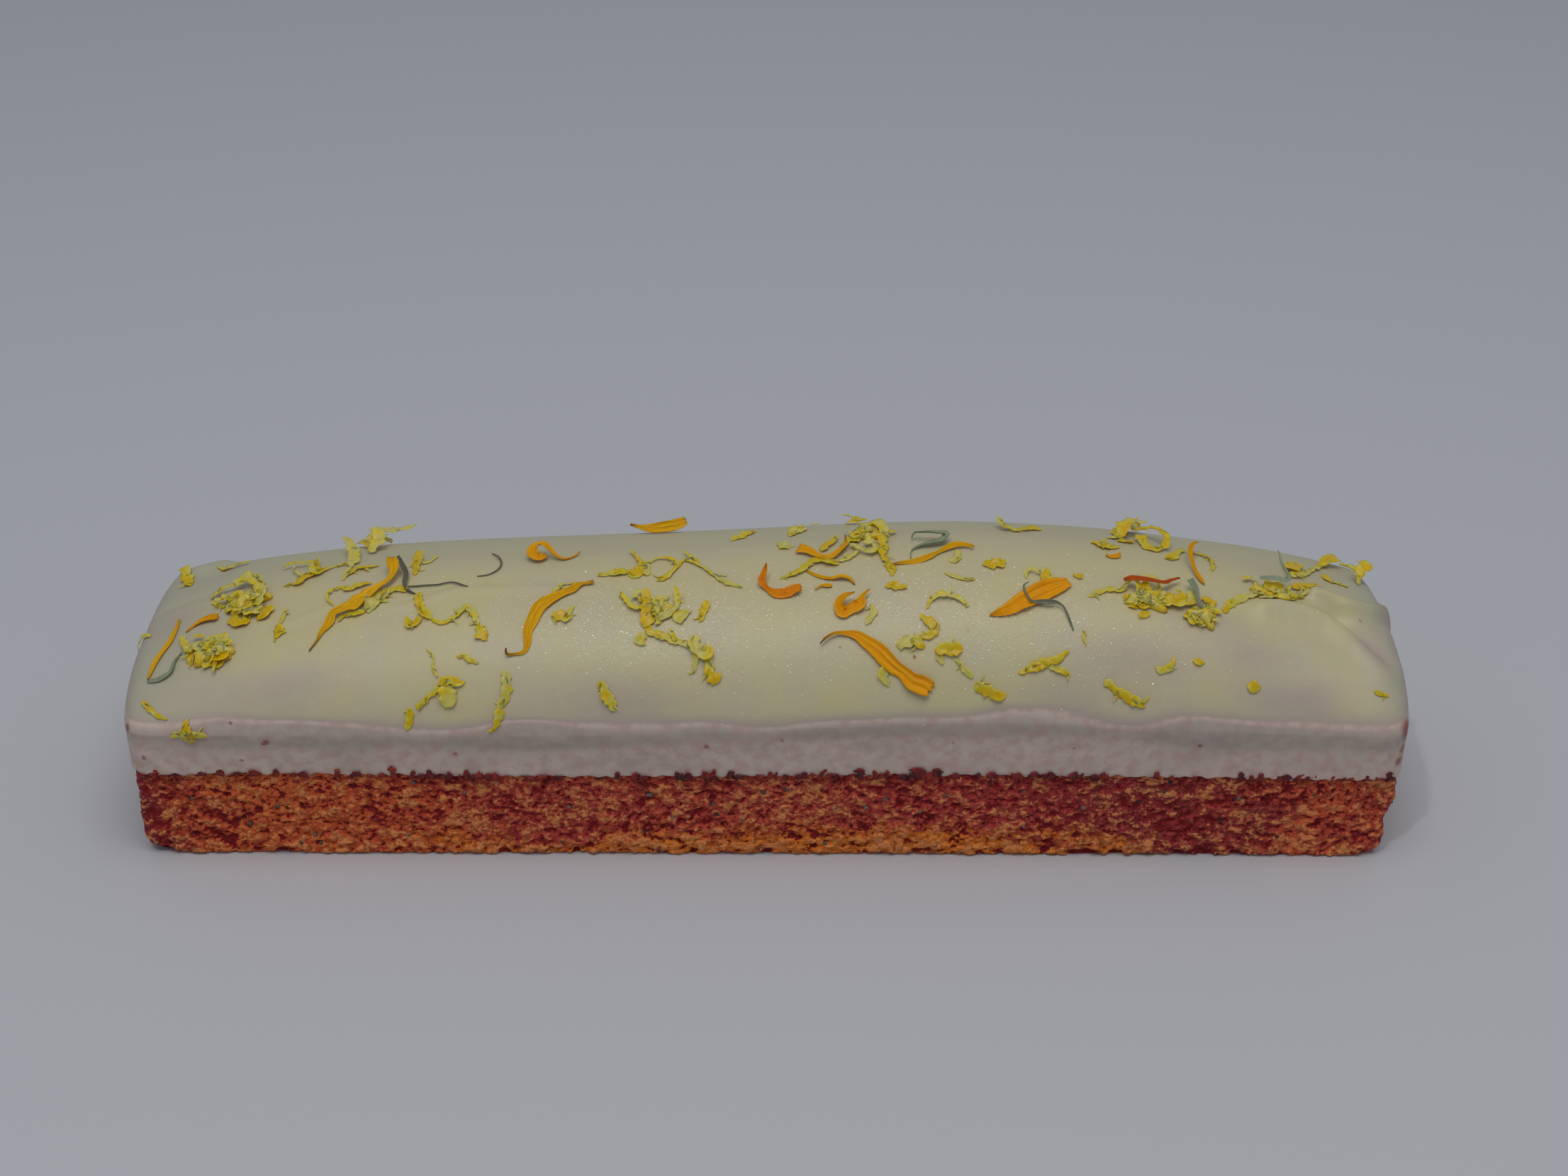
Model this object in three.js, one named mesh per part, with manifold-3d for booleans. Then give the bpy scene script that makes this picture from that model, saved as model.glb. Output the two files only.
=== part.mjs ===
// A long lemon and poppy seed loaf cake: a plain sponge under a cream icing that runs part of the way
// down its sides, strewn with lemon zest, marigold petals and bits of dried leaf.
// Millimetres, +Z up, +X along the loaf, origin at the middle of its foot.
import * as THREE from "three";
import { mergeVertices } from "three/addons/utils/BufferGeometryUtils.js";
import Module from "manifold-3d";

// Driving dimensions of the sponge
const SPONGE_HALF_LENGTH = 127;
const SPONGE_HALF_WIDTH = 30;
const SPONGE_CORNER = 300; // power of the plan's rounded corners: the higher, the tighter
const LEDGE = 1.3; // how far the sponge steps in where the icing covers it
const FOOT_INSET = 1.6; // how far the foot's ragged edge draws in
const CRUMB = 0.25; // depth of the wall's unevenness
const FOOT_END = 124; // beyond this the foot's corner rises
const FOOT_RISE = 1.2; // by this much a millimetre
const NOTCH_X = 125.9; // the right end has lost its foot beyond this, up to NOTCH_TOP
const NOTCH_TOP = 12;
const ICING_LINE = 20.3; // height of the icing's lower edge
const CRUST_BIT = 1.3; // how far bits of crust stick up into the icing

// Driving dimensions of the icing
const ICING_HALF_LENGTH = 130;
const ICING_HALF_WIDTH = 31.6;
const LINE_HALF_LENGTH = 127.6; // half length at the icing's lower edge
const ICING_CORNER = 90;
const BAND_INSET = 0.8; // how far the thin band under the shelf stands back
const SHELF = 30; // height of the widest line, where the icing bulges over the side
const SHELF_SWELL = 3.3;
const RIDGE = 51.4; // height of the dome
const RIDGE_SWELL = 4;
const SWELL_X = 50; // the dome is highest here, right of the middle
const END_FALL = 15.7; // fall of the dome at FALL_REACH from the middle
const FALL_REACH = 136;
const THICKNESS = 3; // of the icing on top
const GAP = 0.3; // between neighbouring pieces
const NARROWEST = 0.5; // half width of the last section at each end

// Driving dimensions of what is strewn on it
const PETAL_THICK = 0.45;
const LEAF_THICK = 0.4;
const ZEST_THICK = 0.8;
const SEED_RADIUS = 0.6;
const SEEDS_A_SIDE = 16;
const SEEDS_AN_END = 3;
const ARC_STEPS = 4;

// Stations along the loaf, closer together at the ends
const MIDDLE_HALF_LENGTH = 122;
const MIDDLE_STEPS = 36;
const MIDDLE = Array.from({ length: MIDDLE_STEPS + 1 }, (_, i) => MIDDLE_HALF_LENGTH * ((2 * i) / MIDDLE_STEPS - 1));
const ICING_ENDS = [126, LINE_HALF_LENGTH, 128.6, 129.3, 129.75, ICING_HALF_LENGTH];
const CORE_HALF_LENGTH = SPONGE_HALF_LENGTH - LEDGE;
const SPONGE_ENDS = [124.5, CORE_HALF_LENGTH, CORE_HALF_LENGTH + 0.05, 126.2, 126.75, SPONGE_HALF_LENGTH];

const wasm = await Module();
wasm.setup();

const mix = (a, b, t) => a + (b - a) * t;
const bell = (x, spread) => Math.exp(-((x / spread) ** 2));
const roundOff = (t, power) => Math.sqrt(Math.max(0, 1 - Math.abs(t) ** power));
const bothEnds = (ends) => [...ends.map((x) => -x).reverse(), ...MIDDLE, ...ends];

// Repeatable draws from 0 to 1.
function draws(seed) {
  let state = seed;
  return () => {
    state = (state * 16807) % 2147483647;
    return state / 2147483647;
  };
}

// Height of the dome's ridge: level in the middle, low at both ends, swollen right of the middle.
function ridge(x) {
  const swell = RIDGE_SWELL * bell(x - SWELL_X, x < SWELL_X ? 55 : 90);
  return RIDGE + swell - END_FALL * Math.abs(x / FALL_REACH) ** 3.2;
}

// Height of the icing's widest line.
const shelf = (x) => SHELF + SHELF_SWELL * bell(x - 45, 50);

// Low waves left by the spreading knife, strongest near the right end.
function waves(x, y) {
  const calm = 1 - (y / ICING_HALF_WIDTH) ** 2;
  const long = 0.25 * Math.sin(x / 19 + y / 14);
  const near = 0.5 * bell(x - 105, 22) * Math.sin((x - 2 * y) / 9);
  return Math.max(0, calm) * (long + near);
}

// Height of the icing at share v of its half width.
function domeHeight(x, v) {
  const rise = (ridge(x) - shelf(x)) * roundOff(x / ICING_HALF_LENGTH, ICING_CORNER);
  const y = v * ICING_HALF_WIDTH;
  return shelf(x) + (rise + waves(x, y)) * (1 - Math.abs(v) ** 3) ** 0.75;
}

// The icing's lower edge: a slow wave, with bits of crust sticking up at uneven places.
function icingLine(x) {
  const at = THREE.MathUtils.clamp(x, -MIDDLE_HALF_LENGTH, MIDDLE_HALF_LENGTH);
  const bits = Math.max(0, Math.sin(at * 1.9) * Math.sin(at * 0.37 + 1)) ** 3;
  return ICING_LINE + 0.3 * Math.sin(at / 23) + CRUST_BIT * bits;
}

// How far the band stands back from the widest line at a depth below it.
const bandInset = (drop) => BAND_INSET * (1 - Math.exp(-drop / 1.8));

// A closed geometry through rings of points, each ring anticlockwise seen from the last one's end.
function loft(rings) {
  const around = rings[0].length;
  const middle = (ring) => ring.reduce((sum, p) => sum.add(p), new THREE.Vector3()).divideScalar(around);
  const points = [...rings.flat(), middle(rings[0]), middle(rings.at(-1))];
  const firstMiddle = points.length - 2;
  const lastRing = (rings.length - 1) * around;
  const faces = [];
  for (let j = 0; j < around; j++) {
    const next = (j + 1) % around;
    for (let i = 0; i < rings.length - 1; i++) {
      const [a, b] = [i * around + j, i * around + next];
      faces.push(a, b, a + around, b, b + around, a + around);
    }
    faces.push(firstMiddle, next, j, firstMiddle + 1, lastRing + j, lastRing + next);
  }
  const geometry = new THREE.BufferGeometry().setFromPoints(points);
  geometry.setIndex(faces);
  return geometry;
}

function toSolid(geometry) {
  const bare = geometry.clone();
  bare.deleteAttribute("normal");
  bare.deleteAttribute("uv");
  const merged = mergeVertices(bare, 1e-4);
  return new wasm.Manifold(
    new wasm.Mesh({
      numProp: 3,
      vertProperties: merged.attributes.position.array,
      triVerts: new Uint32Array(merged.index.array),
    }),
  );
}

function toGeometry(solid) {
  const { vertProperties, triVerts } = solid.getMesh();
  const geometry = new THREE.BufferGeometry();
  geometry.setAttribute("position", new THREE.BufferAttribute(vertProperties, 3));
  geometry.setIndex(new THREE.BufferAttribute(triVerts, 1));
  return geometry;
}

// A section of the loaf from its right half's points, listed from the foot up to the ridge.
function section(x, half) {
  const right = half.map(([y, z]) => new THREE.Vector3(x, y, z));
  const left = half.map(([y, z]) => new THREE.Vector3(x, -y, z)).reverse();
  return [...right, ...left];
}

// Unevenness of the sponge's wall, from -1 to 1, at a station and a level.
function crumb(station, level) {
  const noise = Math.sin(station * 12.9898 + level * 78.233) * 43758.5453;
  return 2 * (noise - Math.floor(noise)) - 1;
}

// The sponge: ragged walls up to the icing's edge, a ledge, and a smooth dome under the icing.
// With a gap it is the space that the icing leaves for it.
function spongeBody(gap) {
  const levels = [0, 0.06, 0.3, 0.55, 0.8, 1];
  const dome = [1, 0.85, 0.55, 0.15];
  const rings = bothEnds(SPONGE_ENDS).map((place, station) => {
    const x = Math.abs(place) > MIDDLE_HALF_LENGTH ? place + Math.sign(place) * gap : place;
    const width = SPONGE_HALF_WIDTH * roundOff(place / SPONGE_HALF_LENGTH, SPONGE_CORNER) + gap;
    const line = icingLine(place) + gap;
    const foot = place > NOTCH_X ? NOTCH_TOP : FOOT_RISE * Math.max(0, Math.abs(place) - FOOT_END) - gap;
    const wall = levels.map((share, level) => {
      const depth = level ? CRUMB * crumb(station, level) : (FOOT_INSET / 2) * (1 + crumb(station, level));
      return [Math.max(NARROWEST, share === 1 ? width : width - depth), mix(foot, line, share)];
    });
    const inner = Math.max(NARROWEST, width - LEDGE);
    const covered = Math.abs(place) <= CORE_HALF_LENGTH;
    const crown = dome.map((v) => [inner * v, covered ? domeHeight(place, v) - THICKNESS + gap : line]);
    return section(x, [...wall, [inner, line], ...crown]);
  });
  return toSolid(loft(rings));
}

// Poppy seeds half sunk in the walls, below the icing.
function poppySeeds() {
  const draw = draws(41);
  const seeds = [];
  const sow = (x, y) => {
    const seed = new THREE.IcosahedronGeometry(SEED_RADIUS, 0);
    seed.scale(1, 0.8, 0.75);
    seed.rotateZ(3 * draw());
    seed.translate(x, y, mix(2.5, ICING_LINE - 2.5, draw()));
    seeds.push(toSolid(seed));
  };
  for (const side of [-1, 1]) {
    for (let k = 0; k < SEEDS_A_SIDE; k++) {
      sow(mix(-120, 120, (k + 0.8 * draw()) / SEEDS_A_SIDE), side * (SPONGE_HALF_WIDTH + 0.1));
    }
  }
  for (let k = 0; k < SEEDS_AN_END; k++) {
    sow(-SPONGE_HALF_LENGTH + 0.3, mix(-20, 20, (k + 0.8 * draw()) / SEEDS_AN_END));
  }
  return seeds;
}

// The icing: a domed cap with a bulging shelf and a thinner band under it, hollow over the sponge.
function icingBody() {
  const dome = [1, 0.98, 0.92, 0.81, 0.65, 0.43, 0.15];
  const rings = bothEnds(ICING_ENDS).map((x) => {
    const reach = roundOff(x / ICING_HALF_LENGTH, ICING_CORNER);
    const width = Math.max(NARROWEST, ICING_HALF_WIDTH * reach);
    const overhang = Math.max(0, Math.abs(x) - LINE_HALF_LENGTH) / (ICING_HALF_LENGTH - LINE_HALF_LENGTH);
    const foot = mix(icingLine(x) + GAP + 0.05, shelf(x) - 1, overhang);
    const band = [0, 0.55, 0.88].map((share) => {
      const height = mix(foot, shelf(x), share);
      return [Math.max(NARROWEST / 2, width - bandInset(shelf(x) - height)), height];
    });
    return section(x, [...band, ...dome.map((v) => [width * v, domeHeight(x, v)])]);
  });
  return toSolid(loft(rings)).subtract(spongeBody(GAP));
}

// A point over the icing, girth millimetres across it from the ridge (front negative), and the way out.
function onIcing(x, girth, lift) {
  const reach = roundOff(x / ICING_HALF_LENGTH, ICING_CORNER);
  const at = new THREE.Vector2(0, domeHeight(x, 0));
  const step = new THREE.Vector2();
  let left = Math.abs(girth);
  for (let k = 1; k <= 60 && left > 0; k++) {
    const v = Math.sin((Math.PI / 2) * (k / 60));
    step.set(ICING_HALF_WIDTH * reach * v, domeHeight(x, v)).sub(at);
    const share = Math.min(1, left / step.length());
    left -= step.length();
    at.addScaledVector(step, share);
  }
  if (left > 0) at.set(at.x - bandInset(left), at.y - left);
  const out = left > 0 || step.lengthSq() === 0 ? new THREE.Vector2(left > 0 ? 1 : 0, left > 0 ? 0 : 1)
    : new THREE.Vector2(-step.y, step.x).normalize();
  const side = Math.sign(girth) || 1;
  const normal = new THREE.Vector3(0, side * out.x, out.y);
  const point = new THREE.Vector3(x, side * at.x, at.y).addScaledVector(normal, lift);
  return { point, normal };
}

// A thin strip along a route of [x, girth, lift] points; shape gives its width along the way.
function ribbon(route, { width, thick, shape, steps, rest, cup = 0, twist = 0 }) {
  const path = new THREE.CatmullRomCurve3(route.map(([x, g, lift = 0]) => new THREE.Vector3(x, g, lift)));
  const stops = path.getSpacedPoints(steps).map((p) => onIcing(p.x, p.y, p.z + rest + thick / 2));
  const rings = stops.map(({ point, normal }, i) => {
    const ahead = stops[Math.min(i + 1, steps)].point;
    const behind = stops[Math.max(i - 1, 0)].point;
    const along = ahead.clone().sub(behind).normalize();
    const side = normal.clone().cross(along).normalize().applyAxisAngle(along, (twist * i) / steps);
    const up = along.clone().cross(side);
    const half = Math.max(0.12, (width / 2) * shape(i / steps));
    const rim = cup * half;
    const outline = cup
      ? [[-half, rim], [0, 0], [half, rim], [half, rim + thick], [0, thick], [-half, rim + thick]]
      : [[-half, 0], [half, 0], [half, thick], [-half, thick]];
    return outline.map(([s, n]) => point.clone().addScaledVector(side, s).addScaledVector(up, n - thick / 2));
  });
  return loft(rings);
}

// Widths along a petal, a leaf or stem, and a shred, from 0 to 1 of each one's widest.
const petalShape = (t) => 0.14 + 0.86 * Math.sin(Math.PI * Math.min(0.93, 0.04 + 0.96 * t) ** 0.85) ** 0.75;
const leafShape = (t) => 0.35 + 0.65 * Math.sin(Math.PI * t);
const zestShape = (t) => 1 - 0.45 * Math.abs(2 * t - 1) ** 3;

// Marigold petals: widest width, and the route as [x, girth, lift].
const PETALS = [
  [1.3, [[-120, -5], [-121, -11], [-122, -15], [-123, -19]]],
  [1.6, [[-118, -10], [-116, -8], [-112, -8]]],
  [2.2, [[-91, -22], [-89, -19], [-87, -14], [-83, -11], [-79, -9, 0.5], [-76.5, -6, 1], [-76.5, 0, 1.6]]],
  [2, [[-52, -26, 0.6], [-49, -26, 0.3], [-47, -23], [-46, -18], [-43, -14], [-39, -10], [-35, -8]]],
  [1.8, [[-48, 1], [-48, 3.5, 2], [-46, 4.5, 2.6], [-44, 3, 1.6], [-42, 1.5, 0.4], [-39, 2, 0.5]]],
  [1.7, [[-29, 18, 1.2], [-26, 17, 0.5], [-22, 17, 0.3], [-17, 18, 1.4]]],
  [2.2, [[0, -8, 3], [-1, -9.5, 1.5], [-0.5, -12, 0.4], [3, -13.5], [7, -12.5]]],
  [1.8, [[6, 3], [9, 1], [12, -2.5], [14, -3, 0.8], [15.5, -1, 2], [16, 1.5, 3.2]]],
  [0.9, [[8, -7.5], [11, -9], [15, -9.5], [18, -12]]],
  [2, [[18, -15, 2.2], [15, -16, 1.4], [14.5, -18, 0.3], [17, -19.5], [20, -16, 1]]],
  [3, [[10, -25], [12, -23], [15, -23], [19, -25], [24, -28.5], [29, -32.5], [33, -35]]],
  [1.1, [[25, -6], [30, -6], [34, -3], [38, -1, 0.4], [42, -1, 0.4]]],
  [3.6, [[44, -20], [48, -19], [52, -16], [56, -13], [60, -11]]],
  [0.8, [[89, 6, 2.4], [86, 3, 2.2], [86, -1, 1], [88, -7]]],
  [1.2, [[71, -9, 0.8], [75, -8, 0.8], [79, -7.5, 0.4], [84, -5]]],
  [0.9, [[68.5, 0], [70.5, -1], [72.5, 1]]],
  [0.9, [[11, -12.8], [12, -11.7], [14, -12.6]]],
];

// Bits of grey green leaf and stem, in the same form.
const LEAVES = [
  [0.9, [[-124.5, -23.5], [-122, -24], [-120.3, -22], [-119, -18.5]]],
  [0.9, [[-74, 2, 1.6], [-73, -2, 1.4], [-72.5, -6, 0.8], [-71, -10]]],
  [0.6, [[-70.5, -7, 0.2], [-66, -6.5], [-63.5, -6.5], [-60.5, -9]]],
  [0.6, [[-58, 6], [-55, 3], [-55, -1], [-59, -5]]],
  [1.6, [[30, 4], [33, 7, 0.3], [36.5, 4, 1.2], [34, 0.5, 0.8], [29, -2.5]]],
  [0.7, [[52, -10.5, 0.8], [51, -13.5, 1.6], [52.5, -18, 1.8], [57, -19, 1.5], [60, -20, 0.5], [60, -23]]],
  [1.2, [[104, 5, 5], [105, 2, 3.8], [106.5, -1.5, 2.8], [103, -3, 2.4], [99, -3.5, 2.4]]],
  [1.1, [[85, -9.5, 2.6], [85.5, -12.5, 2.4], [86.5, -16, 2.1]]],
];

// The larger shreds of zest: start x and girth, heading in degrees, length, bend in degrees, width.
const SHREDS = [
  [-125.5, 17, -62, 10, -50, 1.6], [-117, 18, 9, 7, 30, 1], [-97, -9.5, -96, 8, -16, 1], [-97, 0, 30, 11, -10, 1.2],
  [-86.5, 7, 104, 8, 10, 1.9], [-87, 17, -4, 12, 0, 1.2], [-87, -2, 33, 8, -70, 1.2], [-71, 1, 92, 9, -4, 1.3],
  [-80, -14, 38, 5, -10, 1.3], [-69.5, -11, -97, 9, -60, 1.2], [-68, -15, -1, 8, 60, 1.2],
  [-60, -15, -49, 11, -42, 1.2], [-64, -31, 0, 5, 23, 1.6], [-62.5, -31, -90, 4, 0, 1.9],
  [-65, -31, -129, 10, 36, 1.1], [-53, -29, -99, 13, -45, 1.3], [-124, -28, -40, 6, 12, 1],
  [-115, -32, -88, 6, 13, 1.8], [-118, -40, -5, 8, -50, 1.2], [-43, -19, 38, 5, 50, 1.5], [-28, -6, 92, 11, 80, 1.3],
  [-24, 0, -50, 11, -150, 0.9], [-17, 3, -54, 11, 6, 1], [-11, -5, -42, 9, 29, 1.3], [4, 8, 58, 6, -15, 1.3],
  [-14, -23, -27, 6, 21, 2.2], [-13, -27, -55, 5, 8, 1.5], [-12, -18, 71, 5, 29, 1.4], [-33, -31, -67, 6, -2, 1.4],
  [31, -19, 2, 10, -90, 0.8], [31, -22, -91, 5, -40, 1.8], [33, -28, 10, 5, -14, 2], [39, -31, -34, 10, 22, 1.4],
  [48, 9, -4, 9, -50, 1.2], [44, -6, 17, 4, 60, 1.6], [73, 9, 48, 7, -100, 1.6], [91, -12, 44, 9, -23, 1.2],
  [112, 9, 54, 14, 3, 1.2], [123, 17, -60, 6, -24, 1.3], [49, -32, 29, 13, 29, 1.3], [76, -29, 30, 6, 80, 1.4],
  [67, -33, -31, 9, 6, 1.6], [95, -30, -22, 2.6, 0, 2.1], [-104, 30, 20, 8, 40, 1.4], [-58, 33, -35, 9, -50, 1.5],
  [-8, 29, 75, 6, 20, 1.3], [36, 41, -8, 10, 50, 1.6], [88, 31, 50, 7, -30, 1.3],
];

// Clumps of zest: x, girth, half length, half width, height.
const CLUMPS = [
  [-106.5, -4.5, 5.5, 5.5, 2.6],
  [-111, -18.5, 4.5, 3.6, 2.2],
  [20.5, 6, 4.5, 4, 2.6],
  [76, -14.5, 6, 3.6, 2.2],
  [87, -18, 3.6, 3.1, 1],
  [104, -6, 7, 3.2, 1.1],
  [-21.5, -16, 4, 3, 1.6],
];

// An arc over the icing as a route: it starts at x and girth and turns evenly by its bend.
function arc([x, girth, heading, length, bend]) {
  const toRadians = Math.PI / 180;
  const route = [[x, girth]];
  for (let k = 0; k < ARC_STEPS; k++) {
    const angle = (heading + bend * ((k + 0.5) / ARC_STEPS - 0.5)) * toRadians;
    const [lastX, lastGirth] = route.at(-1);
    const step = length / ARC_STEPS;
    route.push([lastX + step * Math.cos(angle), lastGirth + step * Math.sin(angle)]);
  }
  return route;
}

// A clump of zest: a low uneven mound with shreds curling out of it, just clear of the icing.
function zestClump([x, girth, long, wide, height], seed) {
  const draw = draws(seed);
  const around = 9;
  const over = (share, angle, lift) => {
    const ragged = share * (1 + 0.14 * Math.sin(3 * angle + seed));
    return onIcing(x + long * ragged * Math.cos(angle), girth + wide * ragged * Math.sin(angle), lift).point;
  };
  const ring = (share, lift) =>
    Array.from({ length: around }, (_, j) => over(share, (2 * Math.PI * j) / around, lift));
  const bottom = [0.1, 1].map((share) => ring(share, GAP + 0.35));
  const top = [1, 0.7, 0.25].map((share) => ring(share, GAP + 0.8 + (height - 0.8) * (1 - share ** 2)));
  let solid = toSolid(loft([...bottom, ...top]));
  for (let k = 0; k < 4; k++) {
    const angle = (2 * Math.PI * (k + 0.6 * draw())) / 4;
    const tip = 0.4 + 1.4 * draw();
    const route = [[0.3, 0, 0.4 * height], [0.85, 0.5, 0.6 * height], [1.3, 1, tip]].map(([share, turn, lift]) => [
      x + long * share * Math.cos(angle + turn), girth + wide * share * Math.sin(angle + turn), lift]);
    const size = { width: 1.4, thick: ZEST_THICK, shape: zestShape, steps: 3, rest: GAP + 0.2 };
    solid = solid.add(toSolid(ribbon(route, size)));
  }
  return toGeometry(solid);
}

const SPONGE_LOOK = new THREE.MeshStandardMaterial({ color: "#7a3a24", roughness: 0.95 });
const ICING_LOOK = new THREE.MeshStandardMaterial({ color: "#d9cf9f", roughness: 0.45 });
const PETAL_LOOK = new THREE.MeshStandardMaterial({ color: "#e08a12", roughness: 0.6 });
const LEAF_LOOK = new THREE.MeshStandardMaterial({ color: "#6c7458", roughness: 0.8 });
const ZEST_LOOK = new THREE.MeshStandardMaterial({ color: "#d4b81c", roughness: 0.5 });

const cake = new THREE.Group();

function place(name, geometry, material) {
  const mesh = new THREE.Mesh(geometry, material);
  mesh.name = name;
  cake.add(mesh);
}

const numbered = (name, index) => `${name}_${String(index + 1).padStart(2, "0")}`;

place("sponge", toGeometry(poppySeeds().reduce((all, seed) => all.add(seed), spongeBody(0))), SPONGE_LOOK);

const zestSize = { thick: ZEST_THICK, shape: zestShape, steps: 3, rest: -0.4 };
const shreds = SHREDS.map((row) => toSolid(ribbon(arc(row), { ...zestSize, width: row[5] })));
place("icing", toGeometry(shreds.reduce((all, shred) => all.add(shred), icingBody())), ICING_LOOK);

CLUMPS.forEach((row, i) => place(numbered("zest_clump", i), zestClump(row, i + 7), ZEST_LOOK));

const petalSize = { thick: PETAL_THICK, shape: petalShape, steps: 7, rest: GAP + 0.15, cup: 0.25 };
PETALS.forEach(([width, route], i) => {
  place(numbered("petal", i), ribbon(route, { ...petalSize, width }), PETAL_LOOK);
});

const leafSize = { thick: LEAF_THICK, shape: leafShape, steps: 7, rest: GAP + 0.1 };
LEAVES.forEach(([width, route], i) => {
  place(numbered("leaf", i), ribbon(route, { ...leafSize, width }), LEAF_LOOK);
});

export default cake;
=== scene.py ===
import math

import bpy
import numpy as np
from mathutils import Matrix, Vector


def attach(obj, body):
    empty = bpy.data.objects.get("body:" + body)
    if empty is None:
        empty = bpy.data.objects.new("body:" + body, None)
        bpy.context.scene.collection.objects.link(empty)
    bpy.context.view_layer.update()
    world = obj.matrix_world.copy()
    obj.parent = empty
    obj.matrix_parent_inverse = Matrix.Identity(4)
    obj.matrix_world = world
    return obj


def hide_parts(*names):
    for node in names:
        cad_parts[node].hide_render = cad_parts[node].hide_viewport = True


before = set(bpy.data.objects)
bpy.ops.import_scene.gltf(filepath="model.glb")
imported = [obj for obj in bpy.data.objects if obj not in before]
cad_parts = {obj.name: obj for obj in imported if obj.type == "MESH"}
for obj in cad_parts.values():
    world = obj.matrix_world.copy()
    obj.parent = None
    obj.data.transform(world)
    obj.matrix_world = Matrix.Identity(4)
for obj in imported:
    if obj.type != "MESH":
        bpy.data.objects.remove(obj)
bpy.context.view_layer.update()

# The sponge: a long lemon and poppy seed loaf with its crust cut away, so that its walls are open crumb.
# It is pressed a little flat in layers, torn into pits, and more golden and crumbly along its foot.
# Sizes here and below are in mm, and MM turns them to metres.
MM = 0.001
SPONGE_HALF_LENGTH = 127.0
SPONGE_HALF_WIDTH = 30.0
SPONGE_CORNER = 2.0
WALL_STEPS = 1540
WALL_ROWS = 56
FOOT_ROUND = 1.1
END_FOOT_ROUND = 4.6
FOOT_LOBE = 7.0
NOTCH_TOP = 12.0
NOTCH_DEPTH = 1.3
COARSE_FLAKE = 1.6
FINE_FLAKE = 0.9
COARSE_PIT = 1.9
FINE_PIT = 1.0
FOOT_LUMP = 2.1
FOOT_GAP = 3.0
# How far inside its icing the sponge ends, at the side and on top.
UNDER_ICING = 1.4
ICING_ON_TOP = 3.2
# The rings of points that close its foot and its top, as shares of its outline.
FOOT_RINGS = (0.02, 0.6, 0.99)
TOP_RINGS = (1 - UNDER_ICING / SPONGE_HALF_WIDTH, 0.85, 0.6, 0.3, 0.02)
# Heights of the icing over the sponge: its lower edge, its widest line and the top of its dome.
ICING_LINE = 20.3
SHELF_HEIGHT = 30.0
SHELF_SWELL = 3.3
DOME_HEIGHT = 51.4
DOME_SWELL = 4.0
DOME_FALL = 15.7
DOME_FALL_AT = 136
# Large odd numbers that scatter the corners of a cube and the seed of a pattern over the whole range.
CORNER_KEYS = np.array([73856093, 19349663, 83492791])
SEED_KEY = 9973
MIX_KEY = 1274126177


def smooth_step(low, high, value):
    """Rises from 0 at low to 1 at high, level at both."""
    t = np.clip((value - low) / (high - low), 0, 1)
    return t * t * (3 - 2 * t)


def grain(points, size, seed):
    """Smooth random values from -1 to 1: one at each corner of cubes of a size, blended inside them."""
    scaled = points / size
    cell = np.floor(scaled).astype(np.int64)
    part = scaled - cell
    part = part * part * (3 - 2 * part)
    total = np.zeros(points.shape[:-1])
    for corner in np.ndindex(2, 2, 2):
        key = (cell + np.array(corner)) @ CORNER_KEYS + seed * SEED_KEY
        key = ((key ^ (key >> 13)) * MIX_KEY) & 0x7FFFFFFF
        value = ((key ^ (key >> 15)) & 0xFFFF) / 32767.5 - 1
        total += value * np.prod(np.where(corner, part, 1 - part), axis=-1)
    return total


def round_off(t, power):
    """The square root of 1 less a power of t: 1 in the middle, dropping to 0 at t = 1."""
    return np.sqrt(np.clip(1 - np.abs(t) ** power, 0, None))


def bell(x, spread):
    """A bell of height 1 about 0: e to the power of less the square of x over spread."""
    return np.exp(-((x / spread) ** 2))


def grid_faces(rows, columns):
    """Quads of a grid of rows of points whose columns close round on themselves."""
    i, j = np.meshgrid(np.arange(rows - 1), np.arange(columns), indexing="ij")
    after = (j + 1) % columns
    row_starts = np.stack([i, i, i + 1, i + 1], -1).reshape(-1, 4) * columns
    return row_starts + np.stack([j, after, after, j], -1).reshape(-1, 4)


def closed_tube(rows, columns):
    """Quads of a tube, one ring of points to a row, with its ends closed by strips across the ring."""
    k = np.arange(columns // 2 - 1)
    lid = np.stack([k, k + 1, columns - 2 - k, columns - 1 - k], -1)
    return np.concatenate([grid_faces(rows, columns), lid[:, ::-1], lid + (rows - 1) * columns])


def new_mesh(name, points, faces, values=None):
    """A smooth mesh object from points in mm, arrays of faces of like corners, and named point values."""
    mesh = bpy.data.meshes.new(name)
    mesh.vertices.add(len(points))
    mesh.vertices.foreach_set("co", (points * MM).astype(np.float32).ravel())
    corners = np.concatenate([f.ravel() for f in faces]).astype(np.int32)
    sizes = np.concatenate([np.full(len(f), f.shape[1]) for f in faces])
    mesh.loops.add(len(corners))
    mesh.loops.foreach_set("vertex_index", corners)
    mesh.polygons.add(len(sizes))
    mesh.polygons.foreach_set("loop_start", (np.cumsum(sizes) - sizes).astype(np.int32))
    mesh.update(calc_edges=True)
    mesh.validate()
    mesh.shade_smooth()
    for key, value in (values or {}).items():
        layer = mesh.attributes.new(key, "FLOAT", "POINT")
        layer.data.foreach_set("value", np.asarray(value, np.float32))
    made = bpy.data.objects.new(name, mesh)
    bpy.context.scene.collection.objects.link(made)
    return made


def fit_out(piece, material, slot, *nodes):
    """Gives a finished piece its material, its body and the nodes that it stands for. Its slot is not used.
    """
    piece.data.materials.append(material)
    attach(piece, "root")
    if nodes:
        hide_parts(*nodes)


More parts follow.
